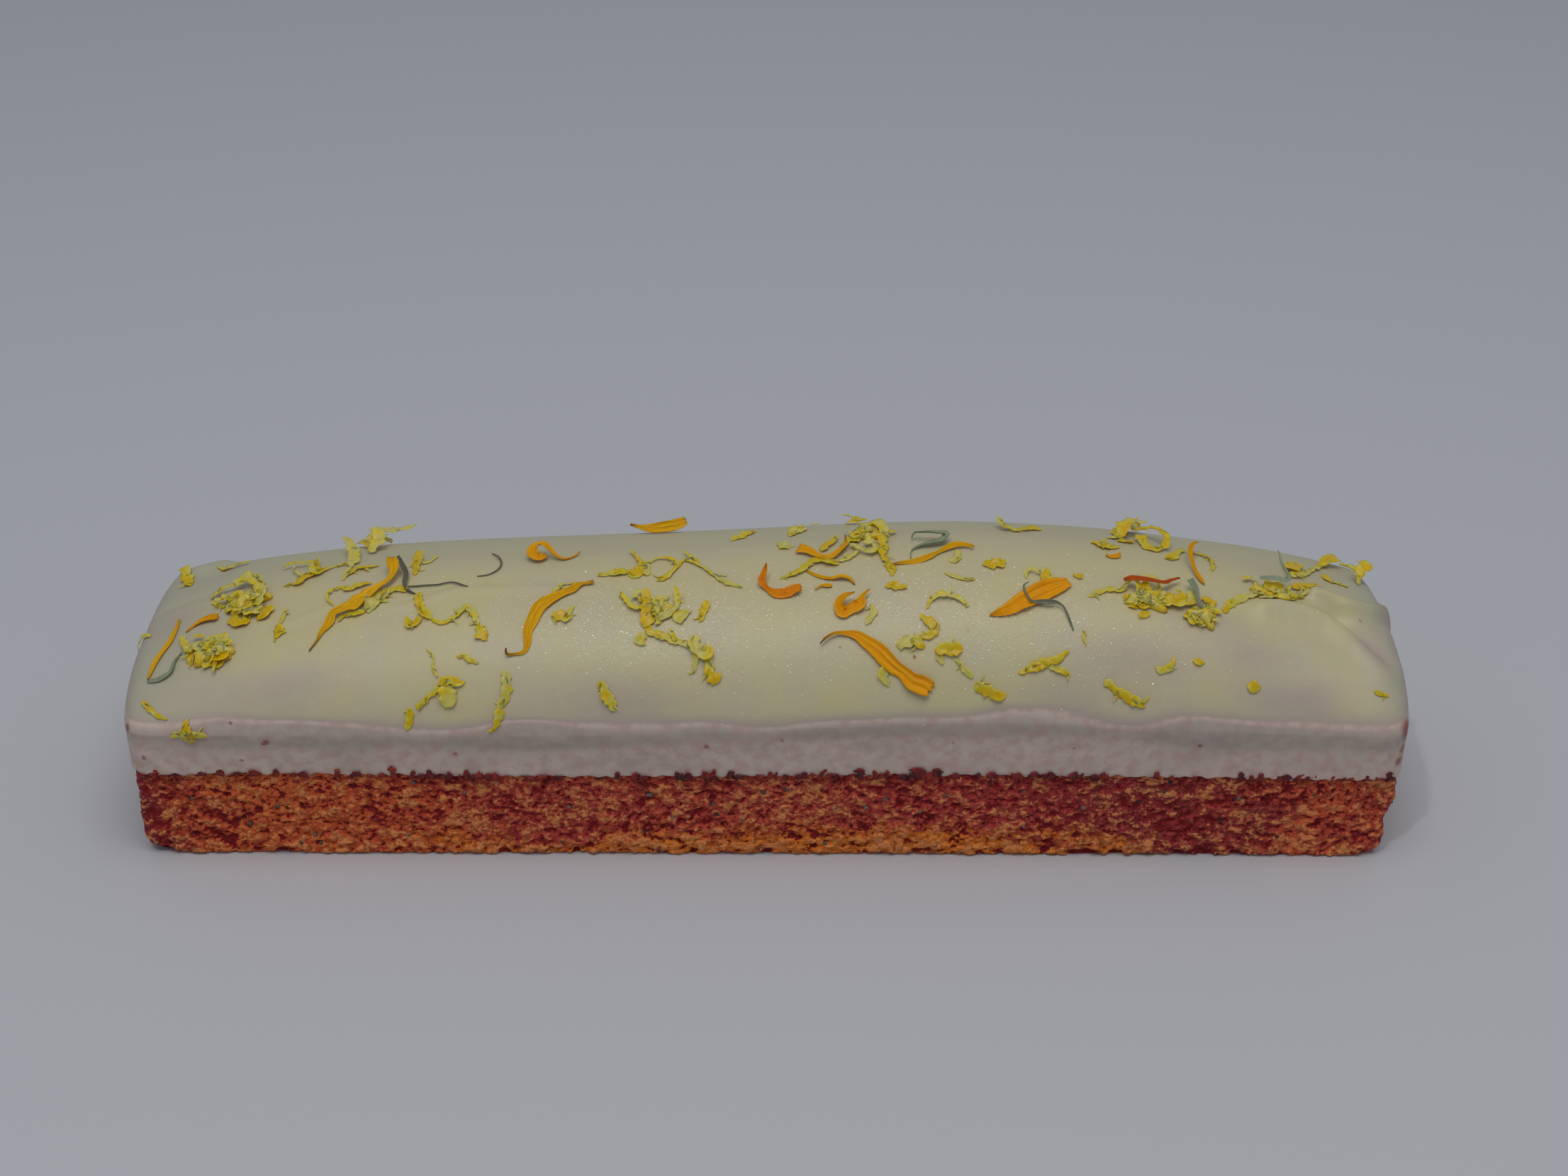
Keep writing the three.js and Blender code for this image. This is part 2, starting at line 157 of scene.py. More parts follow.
def rounded_plan(half_x, half_y, corner, count):
    """Equal steps round a rectangle with rounded corners, from its front's middle, and the ways out."""
    turn = np.linspace(0, np.pi / 2, 9)
    outline = [[0, -half_y]]
    for k, (cx, cy) in enumerate([(1, -1), (1, 1), (-1, 1), (-1, -1)]):
        angle = turn + (k - 1) * np.pi / 2
        middle = np.array([cx * (half_x - corner), cy * (half_y - corner)])
        outline.extend(middle + corner * np.stack([np.cos(angle), np.sin(angle)], -1))
    outline = np.array([*outline, [0, -half_y]])
    along = np.concatenate([[0], np.cumsum(np.linalg.norm(np.diff(outline, axis=0), axis=1))])
    at = np.arange(count) * along[-1] / count
    points = np.stack([np.interp(at, along, outline[:, 0]), np.interp(at, along, outline[:, 1])], -1)
    ahead = np.roll(points, -1, 0) - np.roll(points, 1, 0)
    out = np.stack([ahead[:, 1], -ahead[:, 0]], -1)
    return points, out / np.linalg.norm(out, axis=1, keepdims=True)


def crumb_relief(p):
    """How far torn crumb stands out: pressed layers and flat flakes of two sizes, less pits of two sizes,
    with lumps and gaps that fade out over the foot."""
    flat = p * (1, 1, 1.5)
    flakes = 0.3 * smooth_step(-0.3, 0.25, grain(flat, COARSE_FLAKE, 2))
    flakes = flakes + 0.24 * smooth_step(-0.25, 0.25, grain(flat, FINE_FLAKE, 3))
    rough = 0.14 * grain(flat, 6.5, 1) + 0.14 * grain(p, 0.65, 7)
    pits = 0.8 * smooth_step(0.25, 0.5, grain(flat, COARSE_PIT, 4))
    pits = pits + 0.8 * smooth_step(0.2, 0.45, grain(flat, FINE_PIT, 5))
    lumps = (1 - smooth_step(2, 6, p[..., 2])) * 0.5 * np.abs(grain(p, FOOT_LUMP, 6))
    gaps = smooth_step(0.3, 0.6, grain(p * (1, 1, 0.3), FOOT_GAP, 12))
    gaps = (1 - smooth_step(0.6, 2.4, p[..., 2])) * gaps
    return flakes + rough + lumps - 0.25 - 0.35 * pits - 1.1 * gaps


def ridge(x):
    """Height of the icing's dome along its middle: a level and a wide bell, less a power of x."""
    swell = DOME_SWELL * np.where(x < 50, bell(x - 50, 55), bell(x - 50, 90))
    return DOME_HEIGHT + swell - DOME_FALL * np.abs(x / DOME_FALL_AT) ** 3.2


def shelf(x):
    """Height of the icing's widest line: a level line with one wide bell on it."""
    return SHELF_HEIGHT + SHELF_SWELL * bell(x - 45, 50)


def icing_line(x):
    """Height of the icing's lower edge: a slow wave with short uneven dips and rises."""
    short = 0.25 * np.sin(x * 1.9) * np.sin(x * 0.37 + 1) + 0.15 * np.sin(x * 0.83)
    return ICING_LINE + 0.3 * np.sin(x / 23) + short


plan, way_out = rounded_plan(SPONGE_HALF_LENGTH, SPONGE_HALF_WIDTH, SPONGE_CORNER, WALL_STEPS)
share = np.linspace(0, 1, WALL_ROWS)[:, None]
end_wall = np.abs(way_out[:, 0])
near_end = smooth_step(SPONGE_HALF_LENGTH - 8, SPONGE_HALF_LENGTH - 1, np.abs(plan[:, 0]))
foot_round = FOOT_ROUND + (END_FOOT_ROUND - FOOT_ROUND) * np.maximum(end_wall, near_end)
lobes = 0.5 + 0.5 * grain(np.column_stack([plan, 0 * end_wall]), FOOT_LOBE, 11)
foot_round = foot_round * (0.7 + 0.4 * near_end + 0.9 * lobes * (1 - near_end))
height = share * (icing_line(plan[:, 0]) + 0.5)
below = np.clip(foot_round - height, 0, None)
tuck = foot_round - np.sqrt(np.clip(foot_round**2 - below**2, 0, None))
notch_edge = NOTCH_TOP + 1.2 * np.sin(plan[:, 1] / 4)
notch = NOTCH_DEPTH * np.clip(way_out[:, 0], 0, 1) * (1 - smooth_step(-0.5, 0.5, height - notch_edge))
wall = np.empty((WALL_ROWS, WALL_STEPS, 3))
wall[..., :2] = plan - way_out * (0.85 * tuck + notch)[..., None]
wall[..., 2] = height
relief = crumb_relief(wall) * smooth_step(0, 0.6, height)
wall[..., :2] += way_out * relief[..., None]
foot = [wall[:1] * (scale, scale, 0) for scale in FOOT_RINGS]
top = np.empty((len(TOP_RINGS), WALL_STEPS, 3))
top[..., :2] = plan * np.array(TOP_RINGS)[:, None, None]
top[..., 2] = ridge(top[..., 0]) - shelf(top[..., 0])
top[..., 2] *= (1 - np.abs(top[..., 1] / SPONGE_HALF_WIDTH) ** 3) ** 0.75
top[..., 2] += shelf(top[..., 0]) - ICING_ON_TOP
sponge_points = np.concatenate([*foot, wall, top])
reliefs = np.zeros(sponge_points.shape[:2])
reliefs[len(foot) : len(foot) + WALL_ROWS] = relief
sponge = new_mesh(
    "sponge_crumb",
    sponge_points.reshape(-1, 3),
    [closed_tube(len(sponge_points), WALL_STEPS)],
    {"relief": np.clip(reliefs.ravel() / 1.3 + 0.6, 0, 1)},
)


def hex_colour(text):
    """An sRGB hex colour as linear red, green, blue and alpha."""
    values = [int(text[i : i + 2], 16) / 255 for i in (1, 3, 5)]
    return (*[v / 12.92 if v <= 0.04045 else ((v + 0.055) / 1.055) ** 2.4 for v in values], 1)


def plug(material, value, socket):
    """Links an output, or a node's first one, to a socket, or puts a plain value on the socket."""
    if isinstance(value, bpy.types.Node):
        value = value.outputs[0]
    if isinstance(value, bpy.types.NodeSocket):
        material.node_tree.links.new(value, socket)
    else:
        socket.default_value = value


def add(material, kind, inputs=None, stops=None, **settings):
    """Adds a node to a material, with a value or a source for each of its inputs, and its ramp's stops."""
    node = material.node_tree.nodes.new("ShaderNode" + kind)
    for key, value in settings.items():
        setattr(node, key, value)
    for key, value in (inputs or {}).items():
        plug(material, value, node.inputs[key])
    if stops:
        ramp = node.color_ramp.elements
        for place, colour in stops[2:]:
            ramp.new(place)
        for element, (place, colour) in zip(ramp, stops):
            element.position = place
            element.color = hex_colour(colour) if isinstance(colour, str) else (colour, colour, colour, 1)
    return node


def set_shader(material, **values):
    """Gives each named socket of the material's shader its plain value or its source."""
    for key, value in values.items():
        plug(material, value, material.node_tree.nodes["Principled BSDF"].inputs[key.replace("_", " ")])


def new_material(name, **values):
    """A named material, with plain numbers and colours on its shader's own sockets."""
    material = bpy.data.materials.new(name)
    material.use_nodes = True
    set_shader(material, **values)
    return material


def mix_colours(material, factor, first, second, blend="MIX"):
    """A mix of two colours, each a hex string or a source, by a factor that is a source or a number."""
    sides = [hex_colour(c) if isinstance(c, str) else c for c in (first, second)]
    inputs = {0: factor, 6: sides[0], 7: sides[1]}
    return add(material, "Mix", inputs, data_type="RGBA", blend_type=blend).outputs[2]


# Torn cake crumb, baked red brown: matt flakes and grains of many tones, deep red in the pits.
# That deep red is partly the crumb's own moist colour and partly painted shade in the hollows.
# Its patterns, in mm: grains, clumps of grains, the finest crumbs, patches, plum spots and slow changes.
GRAIN = 0.75
CLUMP = 1.7
FINEST = 0.55
PATCH = 4.5
PLUM_SPOT = 9
SLOW_CHANGE = 14
# The pit colour is partly the crumb's own deep red and partly painted shade in the hollows.
PIT_RED_AND_SHADE = "#8e1a1c"
GOLDEN = "#f08422"
TAN = "#e89458"
PLUM = "#58203e"
# The colour of the raised crumb from the left end to the right, and how golden its foot is there.
BAKED_STOPS = [
    (0, "#8a283a"), (0.03, "#ba4030"), (0.08, "#e46a36"), (0.2, "#d45632"), (0.3, "#c04438"),
    (0.5, "#c84e3c"), (0.66, "#be423c"), (0.8, "#a03238"), (0.88, "#ac3e3a"), (0.93, "#e05e3c"),
    (1, "#ba4638"),
]
FOOT_STOPS = [
    (0, 0.1), (0.12, 0.25), (0.25, 0.9), (0.3, 0.55), (0.42, 1.0), (0.66, 1.0), (0.78, 0.8), (0.84, 0.2),
    (1, 0.35),
]
crumb = new_material("baked_cake_crumb", Specular_IOR_Level=0.25)
place = add(crumb, "TexCoord").outputs["Object"]
stir = add(crumb, "TexNoise", {"Vector": place, "Scale": 1 / (0.8 * MM), "Detail": 2.0}).outputs["Color"]
stirred = add(crumb, "VectorMath", {0: stir, 1: [0.6 * MM] * 3, 2: place}, operation="MULTIPLY_ADD")
flat = add(crumb, "Mapping", {"Vector": stirred, "Scale": (1, 1, 1.35)})
small = add(crumb, "TexVoronoi", {"Vector": flat, "Scale": 1 / (GRAIN * MM)})
large = add(crumb, "TexVoronoi", {"Vector": flat, "Scale": 1 / (CLUMP * MM)})
fine = add(crumb, "TexNoise", {"Vector": flat, "Scale": 1 / (FINEST * MM), "Detail": 4.0})
spread = add(crumb, "TexNoise", {"Vector": flat, "Scale": 1 / (SLOW_CHANGE * MM), "Detail": 4.0})
patches = add(crumb, "TexNoise", {"Vector": flat, "Scale": 1 / (PATCH * MM), "Detail": 2.0})
patchy = add(crumb, "MapRange", {0: patches, 1: 0.3, 2: 0.7, 3: -0.16, 4: 0.16})
stands_out = add(crumb, "Attribute", attribute_name="relief").outputs["Fac"]
by_grain = add(crumb, "SeparateColor", {0: small.outputs["Color"]})
by_clump = add(crumb, "SeparateColor", {0: large.outputs["Color"]})
tone = 0.0
for source, weight in ((stands_out, 0.7), (by_grain, 0.28), (by_clump, 0.25), (fine, 0.55), (patchy, 1.0)):
    tone = add(crumb, "Math", {0: source, 1: weight, 2: tone}, operation="MULTIPLY_ADD")
where = add(crumb, "SeparateXYZ", {0: place})
along = add(crumb, "MapRange", {0: where, 1: -SPONGE_HALF_LENGTH * MM, 2: SPONGE_HALF_LENGTH * MM})
wander = add(crumb, "Math", {0: spread, 1: 0.2, 2: -0.1}, operation="MULTIPLY_ADD")
shifted = add(crumb, "Math", {0: along, 1: wander}, operation="ADD")
baked = add(crumb, "ValToRGB", {0: shifted}, BAKED_STOPS)
low = add(crumb, "MapRange", {0: where.outputs[2], 1: 12.5 * MM, 2: 1.5 * MM})
foot_gold = add(crumb, "ValToRGB", {0: shifted}, FOOT_STOPS)
low_here = add(crumb, "Math", {0: low, 1: spread}, operation="MULTIPLY")
low_gold = add(crumb, "Math", {0: low_here, 1: foot_gold}, operation="MULTIPLY")
gold_clumps = add(crumb, "Math", {0: by_clump, 1: 0.14, 2: low_gold}, operation="MULTIPLY_ADD")
golden_mask = add(crumb, "ValToRGB", {0: gold_clumps}, [(0.26, 0.0), (0.46, 0.9)])
gilded = mix_colours(crumb, golden_mask, baked, GOLDEN)
plum_spots = add(crumb, "TexNoise", {"Vector": place, "Scale": 1 / (PLUM_SPOT * MM), "Detail": 2.0})
plum_low = add(crumb, "Math", {0: plum_spots, 1: low}, operation="MULTIPLY")
plum_mask = add(crumb, "ValToRGB", {0: plum_low}, [(0.6, 0.0), (0.68, 0.7)])
raised_colour = mix_colours(crumb, plum_mask, gilded, PLUM)
# Low relief gets the pit colour, which is partly painted shade in the hollows.
raised = add(crumb, "ValToRGB", {0: tone}, [(0.7, 0.0), (0.82, 1.0)])
bright = add(crumb, "MapRange", {0: tone, 1: 0.96, 2: 1.18, 4: 0.9})
crumb_colour = mix_colours(crumb, bright, mix_colours(crumb, raised, PIT_RED_AND_SHADE, raised_colour), TAN)
shade = add(crumb, "ValToRGB", {0: by_grain}, [(0.0, 0.45), (0.8, 1.0)])
glints = add(crumb, "TexNoise", {"Vector": place, "Scale": 1 / (0.7 * MM), "Detail": 1.0})
moist = add(crumb, "ValToRGB", {0: glints}, [(0.34, 0.25), (0.42, 0.8)])
rounded = add(crumb, "Bump", {"Height": small, "Strength": 0.5, "Distance": 0.35 * MM}, invert=True)
grainy = add(crumb, "Bump", {"Height": fine, "Strength": 0.7, "Distance": 0.3 * MM, "Normal": rounded})
shaded = mix_colours(crumb, 0.8, crumb_colour, shade, "MULTIPLY")
set_shader(crumb, Base_Color=shaded, Roughness=moist, Normal=grainy)
fit_out(sponge, crumb, "sponge", "sponge")

# Poppy seeds: small blue grey kidney shapes, baked into the crumb and half sunk in its walls.
# Those along the front are at places of their own, and the rest are scattered over all four walls.
SEED_LENGTH = 1.05
SEED_FORM = np.array([[1, 0.8, 0.72]])
SIDE_SEEDS = 70
END_SEEDS = 22
SEEDS_FRONT = [
    (-116, 14), (-99, 12), (-92, 5), (-95, 3), (-91, 3), (-73, 5), (-71, 18), (-24, 15), (-11, 13),
    (-5, 9), (-25, 6), (24, 14), (20, 12), (36, 15), (31, 11), (12, 3), (-40, 12), (64, 12), (80, 16),
    (92, 9), (104, 5),
]


def ball(rings, around):
    """A unit ball as points and faces: rings of points between two poles."""
    lift = np.linspace(-np.pi / 2, np.pi / 2, rings + 2)[1:-1, None]
    turn = np.arange(around) * 2 * np.pi / around
    body = np.stack([np.cos(lift) * np.cos(turn), np.cos(lift) * np.sin(turn), np.sin(lift) + 0 * turn], -1)
    points = np.concatenate([body.reshape(-1, 3), [[0, 0, -1], [0, 0, 1]]])
    first = np.arange(around)
    after = (first + 1) % around
    last_row = (rings - 1) * around
    low = np.stack([after, first, np.full(around, rings * around)], -1)
    top = np.stack([first, after, np.full(around, rings * around + 1)], -1) + [last_row, last_row, 0]
    return points, grid_faces(rings, around), np.concatenate([low, top])


def repeat(shape, places, sizes, turns):
    """Copies of one shape, each scaled by its sizes, turned by its 3 x 3 matrix and set at its place."""
    points, quads, ends = shape
    copies = np.einsum("kij,kpj->kpi", turns, points[None] * sizes[:, None]) + places[:, None]
    offset = (np.arange(len(places)) * len(points))[:, None, None]
    faces = [(quads[None] + offset).reshape(-1, 4), (ends[None] + offset).reshape(-1, 3)]
    return copies.reshape(-1, 3), faces


def random_turns(draw, count):
    """Evenly spread random turns, as 3 x 3 matrices made from the QR split of random numbers."""
    turns = np.linalg.qr(draw.normal(size=(count, 3, 3)))[0]
    return turns * np.sign(np.linalg.det(turns))[:, None, None]


draw = np.random.default_rng(41)
front = np.array([(x, -SPONGE_HALF_WIDTH, z) for x, z in SEEDS_FRONT], float)
side_y = draw.choice([-1, 1, 1], SIDE_SEEDS) * SPONGE_HALF_WIDTH
sides = np.stack([draw.uniform(-122, 122, SIDE_SEEDS), side_y, draw.uniform(2, 19, SIDE_SEEDS)], -1)
end_x = draw.choice([-1.0, 1.0], END_SEEDS) * (SPONGE_HALF_LENGTH - 0.4)
ends = np.stack([end_x, draw.uniform(-27, 27, END_SEEDS), draw.uniform(6, 19, END_SEEDS)], -1)
seed_places = np.concatenate([front, sides, ends])
seed_sizes = SEED_LENGTH / 2 * draw.uniform(0.85, 1.1, (len(seed_places), 1)) * SEED_FORM
seed_points, seed_faces = repeat(ball(5, 8), seed_places, seed_sizes, random_turns(draw, len(seed_places)))
seeds = new_mesh("poppy_seeds", seed_points, seed_faces)

# Poppy seed coat: hard, slate blue to nearly black, with a fine net of pits that catches the light.
seed_coat = new_material("poppy_seed_coat", Roughness=0.4)
place = add(seed_coat, "TexCoord").outputs["Object"]
tint = add(seed_coat, "TexNoise", {"Vector": place, "Scale": 1 / (3 * MM), "Detail": 1.0})
seed_colour = add(seed_coat, "ValToRGB", {0: tint}, [(0.38, "#201e1e"), (0.62, "#6e6c66")])
net = add(seed_coat, "TexVoronoi", {"Vector": place, "Scale": 1 / (0.16 * MM)})
net_bump = add(seed_coat, "Bump", {"Height": net, "Strength": 0.5, "Distance": 0.03 * MM})
set_shader(seed_coat, Base_Color=seed_colour, Normal=net_bump)
fit_out(seeds, seed_coat, "sponge", "sponge")

# The icing: warm cream icing poured over the top, which has run part of the way down the sides and set.
# It bulges in a soft shelf, is thin under it, and keeps a few folds from the knife near the right end.
ICING_HALF_LENGTH = 130.0
ICING_HALF_WIDTH = 31.6
LINE_HALF_LENGTH = 127.6
INSIDE_HALF_LENGTH = 127.3
ICING_CORNER = 90
BAND_INSET = 0.8
BAND_THICK = 1.3
SIDE_THICK = 2
DOME_THICK = 3.0
X_STEPS = 500
END_STEPS = 34
DOME_POINTS = 56
BAND_POINTS = 15
LIP_POINTS = 2
# Marks of the knife and folds: height, spread and path over the cake. A negative height is a hollow.
MARKS = [
    (0.6, 0.8, [(-99, -15), (-92, -12), (-86, -10), (-74, -13), (-63, -9), (-46, -9), (-34, -10)]),
    (2.3, 2.6, [(100, -12), (104, -11), (109, -11), (113, -12), (116, -14), (119, -16), (121, -19),
        (123, -23)]),
    (-2.0, 2.4, [(116, -7), (120, -11), (122, -14), (125, -17)]),
    (2.6, 1.2, [(112, -3), (119, -4), (124, -3), (129, 0)]),
    (-0.6, 1.2, [(117, -7), (121, -8), (124, -7), (128, -3)]),
    (-0.9, 1.2, [(-126, 2), (-121, 3), (-116, 3)]),
    (2.8, 2.4, [(-124, 16), (-120, 18), (-117, 21)]),
    (-0.7, 2.5, [(-116, 13), (-113, 20)]),
    (0.3, 1.6, [(63, -17), (73, -18), (80, -19), (87, -17)]),
]
# Thin places, where the crumb tinges the icing a grey pink; a few near both ends are painted shade in the
# hollows beside the folds. Each is x, y, half length, half width and strength.
THIN_AND_SHADED_PLACES = [
    (73, -22, 12, 4, 0.35), (96, -20, 9, 4, 0.4), (109, -25, 7, 3, 0.4), (94, -31, 14, 3, 0.4),
    (-28, -27, 14, 3, 0.35), (-49, -30, 12, 3, 0.35), (-93, -23, 10, 3, 0.3), (-122, -3, 5, 5, 0.4),
    (-88, -30, 14, 2.5, 0.4), (-108, -30, 3, 1.5, 0.4), (-107, -25, 14, 4, 0.3), (88, -14, 8, 3, 0.3),
    (122, -12, 4, 5, 0.6), (58, -28, 9, 3, 0.3), (100, -26, 8, 2, 0.3),
]
# Crumbs of the cake that show in the icing: place and size.
SPECKS = [
    (-99.2, -31.4, 28.6, 0.9), (-99.8, -31.4, 28.1, 0.7), (-89.5, -1.9, 47.3, 0.5),
    (14.5, -23.8, 46.4, 0.5), (20.7, -9.9, 53.7, 0.5), (29, -25.7, 45.1, 0.6), (39.6, -21.9, 49.2, 0.5),
    (121.4, -6.8, 42.5, 0.5), (-106, -30.5, 32.4, 0.5), (-127, -29.4, 30.5, 1.2),
    (127.4, -28.7, 30.3, 2.8), (126.9, -29.4, 26.2, 1.5), (126.4, -29.8, 23.6, 1.4),
    (-104.7, -31, 23.8, 0.5), (86, -31, 28, 0.7), (-12, -31.4, 27.5, 0.8), (3, -31.3, 29, 0.6),
    (-62, -31.2, 25.5, 0.7), (37, -31.2, 28.5, 0.6), (126.5, -31, 23, 1.2), (61, -31.2, 27, 0.6),
    (-124, -31, 24.5, 0.7),
]


def near_path(x, y, path):
    """Distance in plan from points to a path of straight stretches."""
    nearest = np.full(np.broadcast(x, y).shape, 1e9)
    for (ax, ay), (bx, by) in zip(path, path[1:]):
        run = (bx - ax) ** 2 + (by - ay) ** 2
        t = np.clip(((x - ax) * (bx - ax) + (y - ay) * (by - ay)) / run, 0, 1)
        nearest = np.minimum(nearest, np.hypot(x - ax - t * (bx - ax), y - ay - t * (by - ay)))
    return nearest


def knife_waves(x, y):
    """Low waves left by the spreading knife, a crown behind the middle that falls off to the back, and the
    marks, each a bell across its path, all fading out to the widest line."""
    calm = np.clip(1 - (y / ICING_HALF_WIDTH) ** 2, 0, None)
    total = 0.25 * np.sin(x / 19 + y / 14) + 0.5 * bell(x - 105, 22) * np.sin((x - 2 * y) / 9)
    from_crown = y - (2.5 + 1.5 * np.sin(x / 28))
    crown = np.where(from_crown < 0, bell(from_crown, 11), bell(from_crown, 4.5))
    total = total + 0.6 * crown * round_off(x / 121, 8)
    for height, width, path in MARKS:
        total = total + height * bell(near_path(x, y, path), width)
    return calm * total


def dome_height(x, v):
    """Height of the icing at x and at share v of its half width: the ridge's rise, rounded to the shelf."""
    rise = (ridge(x) - shelf(x)) * round_off(x / ICING_HALF_LENGTH, ICING_CORNER)
    round_over = np.clip(1 - np.abs(v) ** 3, 0, None) ** 0.75
    return shelf(x) + (rise + knife_waves(x, v * ICING_HALF_WIDTH)) * round_over


def band_inset(x, drop):
    """How far the band stands back from the widest line at a depth below it, less near both ends."""
    near_middle = smooth_step(-122, -104, x) * (1 - smooth_step(88, 112, x))
    return BAND_INSET * (0.3 + 0.7 * near_middle) * (1 - np.exp(-((drop / 3.6) ** 2)))


end_reach = np.linspace(0.965, 0.02, END_STEPS)
end_x = ICING_HALF_LENGTH * (1 - end_reach**2) ** (1 / ICING_CORNER)
middle_x = np.linspace(-end_x[0], end_x[0], X_STEPS + 2)[1:-1]
stations = np.concatenate([-end_x[::-1], middle_x, end_x])[:, None]
reach = np.maximum(round_off(stations / ICING_HALF_LENGTH, ICING_CORNER), 0.02)
half_width = ICING_HALF_WIDTH * reach
overhang = np.clip((np.abs(stations) - LINE_HALF_LENGTH) / (ICING_HALF_LENGTH - LINE_HALF_LENGTH), 0, 1)
line = icing_line(stations)
edge = line + (shelf(stations) - 1 - line) * overhang
dome_v = np.sin(np.linspace(0.01, 1, DOME_POINTS) * np.pi / 2)
band_share = np.linspace(0, 1, BAND_POINTS + 1)[1:]
band_z = shelf(stations) + (edge - shelf(stations)) * band_share
band_y = np.maximum(half_width - band_inset(stations, shelf(stations) - band_z), 0.4 * half_width)
lip_y = band_y[:, -1:] - np.array([[0.15, 0.45]]) * reach
lip_z = edge - np.array([[0.12, 0.05]]) * (1 - overhang)
inner_v = np.array([0.9, 0.6, 0.3, 0.01])
inner_side_y = (half_width - BAND_THICK * reach) * np.ones((1, 2))
inner_y = np.concatenate([inner_side_y, (half_width - SIDE_THICK * reach) * inner_v], 1)
inner_dome_z = dome_height(stations, inner_v) - DOME_THICK
inner_z = np.concatenate([edge + 0.5, shelf(stations) - 0.5, inner_dome_z], 1)
half_y = np.concatenate([half_width * dome_v, band_y, lip_y, inner_y], 1)
half_z = np.concatenate([np.zeros((len(stations), DOME_POINTS)), band_z, lip_z, inner_z], 1)
ring_y = np.concatenate([half_y, -half_y[:, ::-1]], 1)
ring_z = np.concatenate([half_z, half_z[:, ::-1]], 1)
ring_z[:, :DOME_POINTS] = dome_height(stations, dome_v)
ring_z[:, -DOME_POINTS:] = dome_height(stations, -dome_v[::-1])
ring_x = stations * np.ones((1, ring_y.shape[1]))
outer_points = DOME_POINTS + BAND_POINTS + LIP_POINTS
inside = slice(outer_points, ring_y.shape[1] - outer_points)
ring_x[:, inside] = np.clip(ring_x[:, inside], -INSIDE_HALF_LENGTH, INSIDE_HALF_LENGTH)
icing_points = np.stack([ring_x, ring_y, ring_z], -1)
on_side = np.zeros(icing_points.shape[:2])
on_side[:, DOME_POINTS : DOME_POINTS + BAND_POINTS] = 1
on_side[:, -DOME_POINTS - BAND_POINTS : -DOME_POINTS] = 1
sway = 0.16 * grain(icing_points * (0.6, 1, 1), 5.0, 21) + 0.1 * grain(icing_points * (0.7, 1, 1), 2.4, 22)
icing_points[..., 1] += np.sign(icing_points[..., 1]) * np.minimum(sway, 0.15) * on_side * reach
drop = shelf(stations) - icing_points[..., 2]
cloud = grain(icing_points * (0.5, 0.5, 1.3), 6.0, 23)
# The thin value also carries painted shade: it starts above the widest line, peaks just under it to paint the
# shadow line there, and greys the very ends.
thin_and_shade = smooth_step(-4.5, 0.2, drop + 1.2 * cloud) * (0.92 - 0.2 * smooth_step(1.5, 5, drop) + 0.12 * cloud)
thin_and_shade = np.maximum(thin_and_shade, 0.5 * smooth_step(125, 129.5, np.abs(icing_points[..., 0])))
flat_x = icing_points[..., 0]
flat_y = icing_points[..., 1] - 0.7 * np.clip(drop, -4, 12)
for x, y, long, wide, much in THIN_AND_SHADED_PLACES:
    thin_and_shade = thin_and_shade + much * np.exp(-(((flat_x - x) / long) ** 2) - ((flat_y - y) / wide) ** 2)
speck = np.zeros(icing_points.shape[:2])
for x, y, z, size in SPECKS:
    speck = np.maximum(speck, bell(np.linalg.norm(icing_points - (x, y, z), axis=-1), size))
icing = new_mesh(
    "icing_coat",
    icing_points.reshape(-1, 3),
    [closed_tube(*icing_points.shape[:2])[:, ::-1]],
    {"thin_and_shade": np.clip(thin_and_shade, 0, 1).ravel(), "speck": speck.ravel()},
)

# Set cream icing, smooth and satin: warm ivory where thick, pinkish grey where the crumb shows through.
# It is greyer on the back slope and at both ends, which is painted shade. As it thins it turns from grey to
# pink to grey again: the first grey is partly painted shade where the dome rounds under the widest line,
# and the last, just under that line, is a painted shadow line on the thinnest icing.
IVORY_STOPS = [(0.3, "#c4bb9d"), (0.6, "#c9bf91")]
BACK_SLOPE_SHADE = "#b9b495"
END_SHADE = "#aeac98"
THINNING_AND_SHADE_GREY = "#b3a498"
THIN_STOPS = [(0.38, "#d0aca2"), (0.58, "#dcc6b8")]
THINNEST_AND_SHADOW = "#9c958a"
SPECK = "#8a3236"
cream = new_material("set_cream_icing", Roughness=0.48)
place = add(cream, "TexCoord").outputs["Object"]
thinness_and_shade = add(cream, "Attribute", attribute_name="thin_and_shade").outputs["Fac"]
specks = add(cream, "Attribute", attribute_name="speck").outputs["Fac"]
clouding = add(cream, "TexNoise", {"Vector": place, "Scale": 1 / (14 * MM), "Detail": 4.0})
blots = add(cream, "TexNoise", {"Vector": place, "Scale": 1 / (2.4 * MM), "Detail": 3.0})
uneven = add(cream, "Math", {0: blots, 1: 0.18, 2: -0.09}, operation="MULTIPLY_ADD")
thin_and_shade_here = add(cream, "Math", {0: uneven, 1: thinness_and_shade}, operation="ADD", use_clamp=True)
ivory = add(cream, "ValToRGB", {0: clouding}, IVORY_STOPS)
where = add(cream, "SeparateXYZ", {0: place})
along = add(cream, "MapRange", {0: where, 1: -SPONGE_HALF_LENGTH * MM, 2: SPONGE_HALF_LENGTH * MM})
